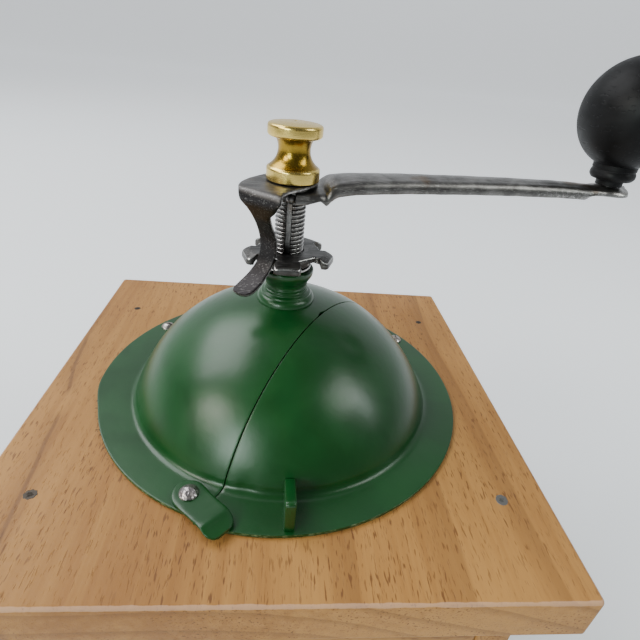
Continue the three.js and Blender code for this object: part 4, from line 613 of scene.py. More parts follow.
@dataclass(frozen=True)
class Brass(Finish):
    """Turned brass: rings left by the tool round its axis, a thin tarnish and polished edges."""

    colour: tuple[float, float, float] = (0.36, 0.225, 0.030)
    tarnish: tuple[float, float, float] = (0.115, 0.064, 0.009)
    bright: tuple[float, float, float] = (0.74, 0.54, 0.15)
    ring_scale: float = 3900.0
    relief: float = 0.000022

    def material(self) -> bpy.types.Material:
        """Builds the brass."""
        m, t, shader, where = self.start(Metallic=1.0)
        mottle = self.group(t, self.groups.mottle, where, Coarse=170.0, Fine=1500.0)
        edge = self.group(t, self.groups.worn_edge, where, Amount=0.6, Scale=900.0)
        pits = self.group(t, self.groups.speckle, where, Scale=480.0, Share=0.05, Size=0.16)
        x, y, z = t.split(where)
        section = t.add("CombineXYZ", {0: t.length(x, y), 2: z}).outputs[0]
        tool = t.noise(section, self.ring_scale, 2.0, 0.7)
        stained = t.math("ADD", mottle.outputs["Mask"], pits.outputs["Mask"])
        surface = t.mix(t.math("MULTIPLY", stained, 0.55, clamp=True), self.colour, self.tarnish)
        self.wire(t, shader, Base_Color=t.mix(edge.outputs["Mask"], surface, self.bright))
        grit = mottle.outputs["Grit"]
        self.wire(t, shader, Roughness=t.math("ADD", 0.15, t.math("MULTIPLY", grit, 0.20)))
        self.bump(t, shader, t.math("ADD", tool, t.math("MULTIPLY", grit, 0.2)), self.relief)
        return m


@dataclass(frozen=True)
class Lacquer(Finish):
    """Black satin lacquer on turned wood: open pores, turning rings and dull rubbed places."""

    colour: tuple[float, float, float] = (0.0028, 0.0027, 0.0030)
    dull: tuple[float, float, float] = (0.0085, 0.0082, 0.0088)
    pore_scales: tuple[float, float, float] = (1100.0, 160.0, 1100.0)
    pore_turn: tuple[float, float, float] = (0.9, 0.2, 0.3)
    relief: float = 0.00007

    def material(self) -> bpy.types.Material:
        """Builds the lacquer."""
        m, t, shader, where = self.start(Specular_IOR_Level=0.17)
        mottle = self.group(t, self.groups.mottle, where, Coarse=85.0, Fine=1300.0)
        edge = self.group(t, self.groups.worn_edge, where, Amount=0.5, Scale=500.0)
        drawn = t.stretch(where, self.pore_scales, turn=self.pore_turn)
        pores = t.band(t.noise(drawn, 1.0, 2.0), 0.62, 0.70)
        rubbed = t.math("ADD", t.math("MULTIPLY", mottle.outputs["Mask"], 0.55),
                        t.math("MULTIPLY", edge.outputs["Mask"], 0.6), clamp=True)
        self.wire(t, shader, Base_Color=t.mix(rubbed, self.colour, self.dull))
        self.wire(t, shader, Roughness=t.math("ADD", 0.4, t.math("MULTIPLY", mottle.outputs["Mask"], 0.16)))
        height = t.math("SUBTRACT", t.math("MULTIPLY", mottle.outputs["Grit"], 0.3), pores)
        self.bump(t, shader, height, self.relief)
        return m


@dataclass(frozen=True)
class Plate(Finish):
    """Nickelled or plain bright metal, dulled, with dark grit in its pits."""

    colour: tuple[float, float, float] = (0.50, 0.47, 0.44)
    grime: tuple[float, float, float] = (0.10, 0.085, 0.07)
    roughness: float = 0.28
    dimple: float = 0.00005
    dimple_scale: float = 900.0

    def material(self) -> bpy.types.Material:
        """Builds the plate."""
        m, t, shader, where = self.start(Metallic=1.0)
        mottle = self.group(t, self.groups.mottle, where, Coarse=520.0, Fine=2600.0)
        edge = self.group(t, self.groups.worn_edge, where, Amount=0.6, Scale=1500.0)
        stained = t.math("MULTIPLY", mottle.outputs["Mask"], 0.65)
        dull = t.math("SUBTRACT", stained, edge.outputs["Mask"], clamp=True)
        self.wire(t, shader, Base_Color=t.mix(dull, self.colour, self.grime))
        self.wire(t, shader, Roughness=t.math("ADD", self.roughness, t.math("MULTIPLY", dull, 0.3)))
        self.bump(t, shader, t.noise(where, self.dimple_scale, 1.0), self.dimple)
        return m


@dataclass(frozen=True)
class Iron(Finish):
    """Grey cast iron with sand-cast grain and coffee dust in its hollows."""

    colour: tuple[float, float, float] = (0.11, 0.108, 0.106)
    dust: tuple[float, float, float] = (0.06, 0.03, 0.014)
    relief: float = 0.00012

    def material(self) -> bpy.types.Material:
        """Builds the iron."""
        m, t, shader, where = self.start(Metallic=0.75)
        mottle = self.group(t, self.groups.mottle, where, Coarse=140.0, Fine=1100.0)
        self.wire(t, shader, Base_Color=t.mix(mottle.outputs["Mask"], self.colour, self.dust))
        self.wire(t, shader, Roughness=t.math("ADD", 0.5, t.math("MULTIPLY", mottle.outputs["Grit"], 0.3)))
        self.bump(t, shader, mottle.outputs["Grit"], self.relief)
        return m


@dataclass(frozen=True)
class Beech(Finish):
    """Oiled beech whose grain runs along one axis, with its own place in the log."""

    along: Axis = Axis.Y
    offset: tuple[float, float, float] = (0.0, 0.0, 0.0)
    ring: float = 5.2
    pale: tuple[float, float, float] = (0.47, 0.235, 0.064)
    warm: tuple[float, float, float] = (0.31, 0.135, 0.033)
    dark: tuple[float, float, float] = (0.135, 0.052, 0.016)
    contact: bool = False
    # rubbed: paler pink for the round edges, partly rubbed wood and partly a painted edge highlight.
    rubbed: tuple[float, float, float] = (0.66, 0.42, 0.29)
    streak: tuple[float, float, float] = (0.11, 0.045, 0.02)
    # grime: the colour of the crumbs and of the painted contact shade round the flange.
    grime: tuple[float, float, float] = (0.03, 0.02, 0.014)
    relief: float = 0.00008

    def grain(self, t: Tree, where: Socket) -> bpy.types.Node:
        """The grain group, with the grain's axis turned to the group's Y."""
        turn = {Axis.X: (0, 0, np.pi / 2), Axis.Y: (0, 0, 0), Axis.Z: (np.pi / 2, 0, 0)}[self.along]
        laid = t.stretch(where, (1, 1, 1), self.offset, turn)
        return self.group(t, self.groups.beech, laid, Ring=self.ring)

    def contact_crumbs_and_shade(self, t: Tree, where: Socket) -> Socket:
        """Dark crumbs and painted contact shade on the board at the dome's flange edge, thickest at the left
        front.

        A ring of the radius from the axis, times ragged noise, times a window of the direction.
        """
        x, y, _ = t.split(where)
        radius = t.length(x, y)
        ring = t.math("MULTIPLY", t.band(radius, 0.0580, 0.0586), t.band(radius, 0.0602, 0.0590))
        lean = t.math("ADD", t.math("MULTIPLY", x, -15.5), t.math("MULTIPLY", y, -6.0))
        window = t.math("MULTIPLY", t.band(lean, 0.62, 0.95), 0.30)
        ragged = t.noise(where, 620.0, 3.0, 0.6)
        crumbs = t.math("MULTIPLY", t.math("SUBTRACT", t.math("ADD", ragged, window), 0.86), 12.0, clamp=True)
        return t.math("MULTIPLY", ring, crumbs, clamp=True)

    def old_streak(self, t: Tree, where: Socket) -> Socket:
        """One dark mineral streak near the board's left edge, a slightly bent line along the grain."""
        x, y, _ = t.split(where)
        bend = t.noise(t.stretch(where, (0.0, 22.0, 0.0)), 1.0, 2.0)
        line = t.math("ADD", t.math("MULTIPLY", y, -0.135), t.math("MULTIPLY", bend, 0.006))
        away = t.math("ABSOLUTE", t.math("SUBTRACT", x, t.math("ADD", line, -0.0735)))
        thin = t.band(away, 0.0011, 0.0002)
        soft = t.math("MULTIPLY", t.band(away, 0.0042, 0.0), 0.35)
        fade = t.band(t.noise(where, 45.0, 2.0), 0.25, 0.5)
        return t.math("MULTIPLY", t.math("MAXIMUM", thin, soft), fade)

    def material(self) -> bpy.types.Material:
        """Builds the wood."""
        m, t, shader, where = self.start(Specular_IOR_Level=0.3)
        grain = self.grain(t, where)
        mottle = self.group(t, self.groups.mottle, where, Coarse=22.0, Fine=900.0)
        edge = self.group(t, self.groups.worn_edge, where, Amount=0.35, Scale=260.0)
        light = t.band(grain.outputs["Light"], 0.34, 0.66)
        wood = t.mix(light, self.warm, self.pale)
        for feature, strength in (("Late", 0.40), ("Fleck", 0.85), ("Pore", 0.45)):
            wood = t.mix(t.math("MULTIPLY", grain.outputs[feature], strength), wood, self.dark)
        wood = t.mix(t.math("MULTIPLY", mottle.outputs["Mask"], 0.16), wood, self.warm)
        # Paler pink over the middle of the boards' round edges: rubbed wood and a painted edge highlight.
        wood = t.mix(t.math("MULTIPLY", edge.outputs["Mask"], 0.5), wood, self.rubbed)
        if self.contact:
            wood = t.mix(t.math("MULTIPLY", self.old_streak(t, where), 0.6), wood, self.streak)
            # Dark crumbs and painted contact shade in a ring at the flange's edge.
            wood = t.mix(t.math("MULTIPLY", self.contact_crumbs_and_shade(t, where), 0.85), wood, self.grime)
        self.wire(t, shader, Base_Color=wood)
        self.wire(t, shader, Roughness=t.math("ADD", 0.42, t.math("MULTIPLY", mottle.outputs["Grit"], 0.2)))
        self.bump(t, shader, grain.outputs["Height"], self.relief)
        return m


@dataclass(frozen=True)
class Paper(Finish):
    """The seamless pale backdrop, which glows faintly behind the grinder and hardly in front of it."""

    front: tuple[float, float, float] = (0.22, 0.23, 0.24)
    behind: tuple[float, float, float] = (0.98, 1.015, 1.05)
    glow_from: float = -0.30
    glow_full: float = 0.28
    shaded: tuple[float, float, float] = (0.60, 0.625, 0.64)
    plain: tuple[float, float, float] = (0.62, 0.64, 0.655)

    def material(self) -> bpy.types.Material:
        """Builds the backdrop."""
        m, t, shader, where = self.start(Specular_IOR_Level=0.1, Roughness=0.9, Emission_Strength=0.66)
        _, along, _ = t.split(where)
        glow = t.band(along, self.glow_from, self.glow_full)
        self.wire(t, shader, Emission_Color=t.mix(glow, self.front, self.behind))
        shade = t.band(t.noise(where, 1.5, 2.0), 0.2, 0.8)
        self.wire(t, shader, Base_Color=t.mix(shade, self.shaded, self.plain))
        return m


class Finishes:
    """Every finish of the grinder, built once."""

    def __init__(self) -> None:
        """Builds the node groups and the materials."""
        groups = Groups()
        self.groups = groups
        self.enamel = Enamel(groups, "green_enamel").material()
        # A lighter copy of the steel, raised to match the arm's highlight: painted light. The washer, pins,
        # cone nut and spring share it.
        self.steel = Steel(groups, "burnished_steel", dark=(0.10, 0.094, 0.090),
                           light=(0.28, 0.27, 0.26)).material()
        self.thread = Steel(groups, "thread_steel", edge=0.30, roughness=0.3).material()
        # Darker copy of the steel for the pawl: painted shade, plus painted shade and a painted wood
        # reflection on its tongue below the fold.
        self.spring = Steel(groups, "spring_steel_painted_shade", dark=(0.056, 0.052, 0.050),
                            light=(0.165, 0.158, 0.152), roughness=0.42, edge=0.34,
                            painted_shade_below=(BOARD_TOP + PAWL_FOLD) * MM).material()
        # A darker copy of the steel for the star nut: painted shade.
        self.star = Steel(groups, "star_steel_painted_shade", dark=(0.035, 0.033, 0.032), light=(0.12, 0.115, 0.11),
                          bright=(0.40, 0.39, 0.38), edge=0.30).material()
        self.brass = Brass(groups, "polished_brass").material()
        self.lacquer = Lacquer(groups, "black_lacquer").material()
        self.nickel = Plate(groups, "nickel_plate").material()
        self.rivet = Plate(groups, "hammered_rivet", colour=(0.42, 0.38, 0.38), roughness=0.3,
                           dimple=0.0004).material()
        # Dark nail heads: partly the nails' oxide, partly painted shade standing for a sunk head.
        self.nail = Plate(groups, "nail_oxide_painted_shade", colour=(0.07, 0.06, 0.05), grime=(0.02, 0.016, 0.012),
                          roughness=0.5).material()
        self.worn_nail = Plate(groups, "bright_nail", colour=(0.22, 0.215, 0.20), grime=(0.05, 0.05, 0.045),
                               roughness=0.5).material()
        self.tin = Plate(groups, "tinned_steel", colour=(0.36, 0.35, 0.34), grime=(0.09, 0.06, 0.04),
                         roughness=0.38).material()
        self.iron = Iron(groups, "cast_iron").material()

    def beech(self, name: str, along: Axis, seed: int, ring: float = 5.2, contact: bool = False
              ) -> bpy.types.Material:
        """Beech for one board, from its own place in the log: up to 0.4 m off along it, 0.04 m across."""
        shift = np.random.default_rng(seed).uniform(-0.4, 0.4, 3) * (0.1, 1.0, 0.1)
        offset = tuple(float(v) for v in shift)
        return Beech(self.groups, name, along, offset, ring, contact=contact).material()


# The wooden case


@dataclass
class Board:
    """A square board with round edges, with a stepped hole where a bowl hangs in it."""

    name: str
    bottom: float
    top: float
    half: float = 76.0
    corner: float = 1.5
    edge: float = 1.2
    hole: float = 0.0
    rebate: float = 0.0
    rebate_depth: float = 1.5
    side_points: int = 40

    def outline(self, inset: float) -> Array:
        """The rounded square, drawn in by an inset, at the same directions for every inset."""
        radius = max(self.corner - inset, 0.3)
        flat = self.half - inset - radius
        corners = [arc((sx * flat, sy * flat), radius, start, start + 90, 9)
                   for sx, sy, start in ((1, -1, -90), (1, 1, 0), (-1, 1, 90), (-1, -1, 180))]
        share = np.linspace(0, 1, self.side_points)[1:-1, None]
        sides = [a[-1] * (1 - share) + b[0] * share for a, b in zip(corners, corners[1:] + corners[:1])]
        return np.concatenate([run for pair in zip(corners, sides) for run in pair])

    def build(self, material: bpy.types.Material) -> bpy.types.Object:
        """Rows from the hole's foot out, over the round edges and back. Each is an outline or a circle."""
        quarter = np.radians(np.linspace(0, 90, 8))
        rim = self.outline(0.0)
        heading = rim / np.linalg.norm(rim, axis=1, keepdims=True)
        rows = [np.column_stack([heading * self.hole, np.full(len(rim), self.bottom)])]
        marks = [0.0]
        for face, rise, angles in ((self.bottom, self.edge, quarter), (self.top, -self.edge, quarter[::-1])):
            for angle in angles:
                height = np.full(len(rim), face + rise * (1 - np.cos(angle)))
                rows.append(np.column_stack([self.outline(self.edge * (1 - np.sin(angle))), height]))
                marks.append(np.sin(2 * angle))
        if self.hole:
            for radius, height in ((self.rebate, self.top), (self.rebate, self.top - self.rebate_depth),
                                   (self.hole, self.top - self.rebate_depth)):
                rows.append(np.column_stack([heading * radius, np.full(len(rim), height)]))
                marks.append(0.0)
        else:
            rows.append(np.column_stack([heading * 0.0, np.full(len(rim), self.top)]))
            marks.append(0.0)
        return new_piece(self.name, np.stack(rows), "root", material, [self.name],
                         wrap_rows=bool(self.hole), wear=np.array(marks)[:, None])


@dataclass
class Case:
    """The box: base board, walls, front rail, top board and the nails that show."""

    finishes: Finishes
    wall: float = 10.0
    outer: float = 67.0
    bottom: float = 12.3
    top: float = 100.3
    rail: float = 41.0
    nail_x: float = 62.0
    nail_y: float = 48.0
    nail_depth: float = 3.0
    base_top: float = 12.0
    lid_bottom: float = 100.6
    bowl_hole: float = 42.8
    bowl_rebate: float = 47.5
    plank_edge: float = 0.8

    def build(self) -> None:
        """Builds every piece of the box."""
        f, inner = self.finishes, self.outer - self.wall - SHEET_GAP
        Board("base_board", 0.0, self.base_top).build(f.beech("beech_base", Axis.Y, 3))
        lid = Board("top_board", self.lid_bottom, BOARD_TOP, hole=self.bowl_hole, rebate=self.bowl_rebate)
        lid.build(f.beech("beech_top", Axis.Y, 7, ring=7.5, contact=True))
        side = self.outer - self.wall
        planks = {
            "wall_left": ((-self.outer, -self.outer, self.bottom), (-side, self.outer, self.top), Axis.Y, 11),
            "wall_right": ((side, -self.outer, self.bottom), (self.outer, self.outer, self.top), Axis.Y, 12),
            "wall_back": ((-inner, side, self.bottom), (inner, self.outer, self.top), Axis.X, 13),
            "front_rail": ((-inner, -self.outer, self.top - self.rail), (inner, -side, self.top), Axis.X, 14),
        }
        for name, (low, high, along, seed) in planks.items():
            grid = rounded_box(low, high, self.plank_edge)
            new_piece(name, grid, "root", f.beech(f"beech_{name}", along, seed), [name], wear=0.25)
        for corner, sx, sy in (("front_left", -1, -1), ("front_right", 1, -1), ("back_left", -1, 1),
                               ("back_right", 1, 1)):
            self.nail(corner, sx * self.nail_x, sy * self.nail_y)

    def nail(self, corner: str, x: float, y: float) -> None:
        """A nail head: a flat head with a slight dish and a ragged rim, its top just above the board.

        Args:
            corner: which corner it holds.
            x: its place across.
            y: its place along.
        """
        # The dark nail finish is partly oxide and partly painted shade for a sunk head.
        head = {"front_right": (1.75, self.finishes.worn_nail), "front_left": (1.6, self.finishes.nail)}
        radius, material = head.get(corner, (1.25, self.finishes.nail))
        section = [(0, -self.nail_depth), (radius, -self.nail_depth), (radius, 0.04), (radius * 0.7, 0.03),
                   (0, 0.02)]
        path, mask = rounded(section, [0, 0, 0.1, 0.1, 0])
        angle = np.linspace(0, 2 * np.pi, 40, endpoint=False)
        grid = turned(path, 40)
        ragged = 1 + 0.10 * np.sin(3 * angle + 1.1) * np.sin(5 * angle + x) + 0.06 * np.sin(8 * angle + y)
        grid[..., :2] *= ragged[None, :, None]
        new_piece(f"top_nail_{corner}", placed(grid, (x, y, BOARD_TOP)), "root", material,
                  [f"top_nail_{corner}"], wear=mask[:, None] * 0.5)


@dataclass
class Drawer:
    """The drawer under the mill, with its black turned pull."""

    finishes: Finishes
    half: float = 56.5
    front: float = -67.0
    front_thickness: float = 10.0
    side_thickness: float = 6.0
    bottom: float = 12.3
    front_top: float = 58.8
    side_top: float = 49.3
    back: float = 45.0
    floor: float = 3.0
    edge: float = 0.7
    pull_radius: float = 9.5
    pull_waist: float = 2.4
    pull_neck: float = 5.0

    def build(self) -> None:
        """Builds the drawer's boards and its pull."""
        f, behind = self.finishes, self.front + self.front_thickness
        inner, start = self.half - self.side_thickness, self.front + self.front_thickness + SHEET_GAP
        low_side, high_side = (inner, start, self.bottom), (self.half, self.back, self.side_top)
        boards = {
            "drawer_front": ((-self.half, self.front, self.bottom), (self.half, behind, self.front_top),
                             Axis.X, 21),
            "drawer_side_right": (low_side, high_side, Axis.Y, 22),
            "drawer_side_left": ((-self.half, *low_side[1:]), (-inner, *high_side[1:]), Axis.Y, 23),
            "drawer_back": ((-inner + SHEET_GAP, self.back - self.side_thickness, self.bottom),
                            (inner - SHEET_GAP, self.back, self.side_top), Axis.X, 24),
            "drawer_bottom": ((-inner + SHEET_GAP, start, self.bottom),
                              (inner - SHEET_GAP, self.back - self.side_thickness - SHEET_GAP,
                               self.bottom + self.floor), Axis.X, 25),
        }
        for name, (low, high, along, seed) in boards.items():
            grid = rounded_box(low, high, self.edge)
            new_piece(name, grid, "drawer", f.beech(f"beech_{name}", along, seed), [name], wear=0.25)
        self.pull()

    def pull(self) -> None:
        """The pull: a foot, a waist and a flattened ball, turned about a line towards the front."""
        r = self.pull_radius
        ball = arc((0, 0), 1, -62, 90, 40) * (r, 0.8 * r) + (0, self.pull_waist + self.pull_neck + 0.8 * r)
        foot, mask = rounded([(0, 0), (7.0, 0), (7.0, 1.6), (4.6, 2.6), (ball[0, 0], ball[0, 1])],
                             [0, 0.2, 0.5, 0.8, 0])
        path = np.concatenate([foot, ball[1:]])
        path[-1, 0] = 0.0
        tilt = Matrix.Rotation(np.radians(90), 4, "X")
        middle = (self.bottom + self.front_top) / 2
        grid = placed(turned(path, 72), (0, self.front - SHEET_GAP, middle), tilt=tilt)
        wear = np.concatenate([mask, np.zeros(len(ball) - 1)])[:, None]
        new_piece("drawer_pull", grid, "drawer", self.finishes.lacquer, ["drawer_pull"],
                  wear=wear)


# The dome


@dataclass
class Dome:
    """The pressed hopper cover: a fixed half, a door that swings out, its finger fin and the flange."""

    finishes: Finishes
    radius: float = 46.5
    height: float = 34.5
    power: float = 2 / 1.76
    fillet: float = 2.3
    swell: float = 2.4
    swell_top: float = 15.0
    lean: float = 0.026
    lean_azimuth: float = -12.0
    flange: float = 60.0
    flange_top: float = 1.2
    sheet: float = 0.9
    trim: float = 1.45
    cut: float = 13.4
    cut_azimuth: float = -33.0
    seam: float = 0.32
    pivot: tuple[float, float] = (56.2, 32.9)
    hole: float = 6.7
    dings: tuple[tuple[float, float, float, float, float], ...] = (
        (20.5, -16.5, 29.5, 0.42, 3.4), (7.2, -48.3, 4.0, 0.35, 2.0), (-8.0, -47.0, 3.6, 0.30, 2.6),
        (-44.0, -20.0, 4.5, 0.25, 3.0), (33.0, 12.0, 24.0, 0.3, 5.0), (-30.0, 22.0, 20.0, 0.35, 6.0))
    fin_x: float = 3.0
    fin_half: float = 1.4
    fin_edge: float = 0.55
    fin_gap: float = 0.12
    fin_azimuth: float = -87.0
    fin_foot: float = 6.4
    fin_top: float = 10.4
    fin_reach: float = 58.9

    def height_at(self, radius: Array | float) -> Array:
        """Height above the flange of the outer skin: H (1 - (r/R)^(2/p))^(p/2)."""
        share = np.clip(np.asarray(radius) / self.radius, 0, 1) ** (2 / self.power)
        return self.height * (1 - share) ** (self.power / 2)

    def radius_at(self, height: float) -> float:
        """Radius of the outer skin at a height above the flange, with the swelling towards its foot."""
        return self.radius * (1 - (height / self.height) ** (2 / self.power)) ** (self.power / 2) + float(
            self.swollen(height))

    def swollen(self, height: Array | float) -> Array:
        """How far the skin stands out near its foot: s (1 - h / top)^2."""
        return self.swell * np.clip(1 - np.asarray(height) / self.swell_top, 0, 1) ** 2

    def lopsided(self, azimuth: Array, height: Array) -> Array:
        """The pressing's slight lean: 1 + l cos(a - a0) (1 - h / H), a factor on the radius."""
        lean = self.lean * np.cos(np.radians(azimuth - self.lean_azimuth))
        return 1 + lean * np.clip(1 - height / self.height, 0, 1)

    def section(self, start: float, rows: int) -> Array:
        """The outer skin's section from a radius out to the flange's edge, in even steps.

        The steps are even in the length along the section plus the length along the seam, so the seam stays
        smooth where it leaves the crown.
        """
        foot = self.radius_at(self.fillet)
        angle = np.linspace(np.pi / 2, 0, 2000)
        rise = self.height * np.sin(angle) ** self.power
        out = self.radius * np.cos(angle) ** self.power + self.swollen(rise)
        skin = np.stack([out, self.flange_top + rise], 1)
        skin = skin[(skin[:, 0] > start) & (rise > self.fillet)]
        first = [[start, self.flange_top + float(self.height_at(start))]]
        run = arc((foot + self.fillet, self.flange_top + self.fillet), self.fillet, 180, 270, 60)
        path = np.concatenate([first, skin, run, [[self.flange, self.flange_top]]])
        reach = np.sqrt(np.maximum(path[:, 0] ** 2 - self.cut ** 2, 0))
        step = np.linalg.norm(np.diff(path, axis=0), axis=1) + np.abs(np.diff(reach)) * 0.8
        length = np.concatenate([[0], np.cumsum(step)])
        at = np.linspace(0, length[-1], rows)
        return np.stack([np.interp(at, length, path[:, 0]), np.interp(at, length, path[:, 1])], 1)

    def edge_of_flange(self, azimuth: Array) -> Array:
        """The flange's outer radius in a direction: round, but trimmed on the left of the fixed half."""
        turn = (np.asarray(azimuth) + 360.0) % 360.0
        return self.flange - self.trim * ease(182.0, 199.0, turn) * (1 - ease(249.0, 250.0, turn))

    def skin(self, path: Array, low: Array, high: Array, columns: int) -> tuple[Array, Array]:
        """Carries the section from one azimuth to another, and says how near each point is to an edge.

        Args:
            path: the section's points.
            low: first azimuth of each row, in degrees.
            high: last azimuth of each row.
            columns: points across.

        Returns:
            The grid, and the wear of its points.
        """
        share = np.linspace(0, 1, columns)[None, :]
        azimuth = low[:, None] + (high - low)[:, None] * share
        radius, height = np.repeat(path[:, :1], columns, 1), np.repeat(path[:, 1:], columns, 1)
        outer, inner = self.edge_of_flange(azimuth), self.radius_at(self.fillet) + self.fillet
        share_out = np.clip((radius - inner) / (self.flange - inner), 0, 1)
        lean = self.lopsided(azimuth, height - self.flange_top)
        radius = np.where(radius > inner, inner * lean + share_out * (outer - inner * lean), radius * lean)
        angle, cut = np.radians(azimuth), np.radians(self.cut_azimuth)
        grid = np.stack([radius * np.cos(angle), radius * np.sin(angle), height], 2)
        across = grid[..., 0] * np.cos(cut) + grid[..., 1] * np.sin(cut)
        near = np.minimum(np.abs(across - self.cut) - self.seam / 2, outer - radius)
        near = np.where(radius < self.cut, radius - self.hole + 1.0, near)
        return grid, np.exp(-np.maximum(near, 0) / 0.45)

    def thicken(self, piece: bpy.types.Object) -> None:
        """Gives a skin the sheet's thickness inwards, and breaks its cut edges."""
        solid = piece.modifiers.new("sheet", "SOLIDIFY")
        solid.thickness, solid.offset, solid.use_even_offset = self.sheet * MM, -1.0, True
        bevel = piece.modifiers.new("broken_edge", "BEVEL")
        bevel.width, bevel.segments, bevel.limit_method = 0.22 * MM, 2, "ANGLE"
        bevel.angle_limit = np.radians(50)

    def dents(self, grid: Array) -> Array:
        """Shallow dings: each has a place, and pushes a bell of a depth and a width in along the radius."""
        centre = np.array([0.0, 0.0, 8.0])
        out = grid - centre
        out /= np.linalg.norm(out, axis=2, keepdims=True)
        push = np.zeros(grid.shape[:2])
        for x, y, z, depth, width in self.dings:
            away = np.linalg.norm(grid - (x, y, z), axis=2)
            push += depth * np.exp(-((away / width) ** 2))
        return grid - out * push[..., None]

    def build(self) -> None:
        """Builds the two halves and the fin."""
        turn = self.cut_azimuth
        path = self.section(self.hole, 130)
        plane = self.cut - self.seam / 2
        open_angle = np.degrees(np.arccos(np.clip(plane / path[:, 0], -1, 1)))
        grid, wear = self.skin(path, turn + open_angle, turn + 360 - open_angle, 260)
        lifted = placed(self.dents(grid), (0, 0, BOARD_TOP))
        shell = new_piece("dome_shell", lifted, "root", self.finishes.enamel, ["dome_shell"],
                          wrap_columns=False, wear=wear, crease=60, open_skin=True)
        self.thicken(shell)
        plane = self.cut + self.seam / 2
        path = self.section(plane, 110)
        half = np.degrees(np.arccos(np.clip(plane / path[:, 0], -1, 1)))
        pivot_radius, pivot_lean = self.pivot[0], self.pivot[1] - turn
        swing = pivot_radius * np.cos(np.radians(pivot_lean)) - plane
        r = path[:, 0]
        cosine = (r ** 2 + pivot_radius ** 2 - swing ** 2) / (2 * r * pivot_radius)
        cosine = np.where(r > np.hypot(plane, pivot_radius * np.sin(np.radians(pivot_lean))), cosine, -1)
        corner = pivot_lean + np.degrees(np.arccos(np.clip(cosine, -1, 1)))
        grid, wear = self.skin(path, turn - half, turn + np.minimum(half, corner), 150)
        lifted = placed(self.dents(grid), (0, 0, BOARD_TOP))
        door = new_piece("dome_door", lifted, "door", self.finishes.enamel, ["dome_door"],
                         wrap_columns=False, wear=wear, crease=60, open_skin=True)
        self.thicken(door)
        self.fin()

    def fin(self) -> None:
        """The finger fin: a plate whose inner edge follows the skin and the fillet, with round edges.

        Rows run across the plate's thickness; each row is the outline drawn in by the edge's radius there.
        """
        half, edge, gap = self.fin_half, self.fin_edge, self.fin_gap
        heights = np.linspace(self.fin_foot - self.flange_top, self.fillet, 8)
        grown = 1 + self.lean * np.cos(np.radians(self.fin_azimuth - self.lean_azimuth))
        side = [(-self.radius_at(float(h)) * grown - gap, h + self.flange_top) for h in heights]
        centre = (-(self.radius_at(self.fillet) * grown + self.fillet), self.flange_top + self.fillet)
        bend = arc(centre, self.fillet - gap, 0, -90, 8)
        ends = [(-self.fin_reach, self.flange_top + gap), (0.8 - self.fin_reach, self.fin_top)]
        outline = np.concatenate([side, bend[1:], ends])
        path, _ = rounded(outline, [0.8] + [0.0] * (len(outline) - 3) + [0.3, 1.5], 8, loop=True)
        middle = np.array([-53.0, 4.6])
        angle = np.linspace(-np.pi / 2, np.pi / 2, 9)
        inset = edge * (1 - np.cos(angle))
        depth = (half - edge) * np.sign(np.sin(angle)) + edge * np.sin(angle)
        length = np.linalg.norm(path - middle, axis=1)
        rows = [middle + (path - middle) * (1 - i / length)[:, None] for i in inset]
        flat = [np.full(len(path), d) for d in depth]
        rows = [0 * rows[0] + middle, *rows, 0 * rows[0] + middle]
        flat = [flat[0], *flat, flat[-1]]
        grid = np.stack([np.stack([d, p[:, 0], p[:, 1]], 1) for d, p in zip(flat, rows)])
        wear = np.concatenate([[0], np.cos(angle) ** 2, [0]])[:, None] * 0.8
        new_piece("door_fin", placed(grid, (self.fin_x, 0, BOARD_TOP)), "door", self.finishes.enamel,
                  ["door_fin"], wear=wear, crease=50)


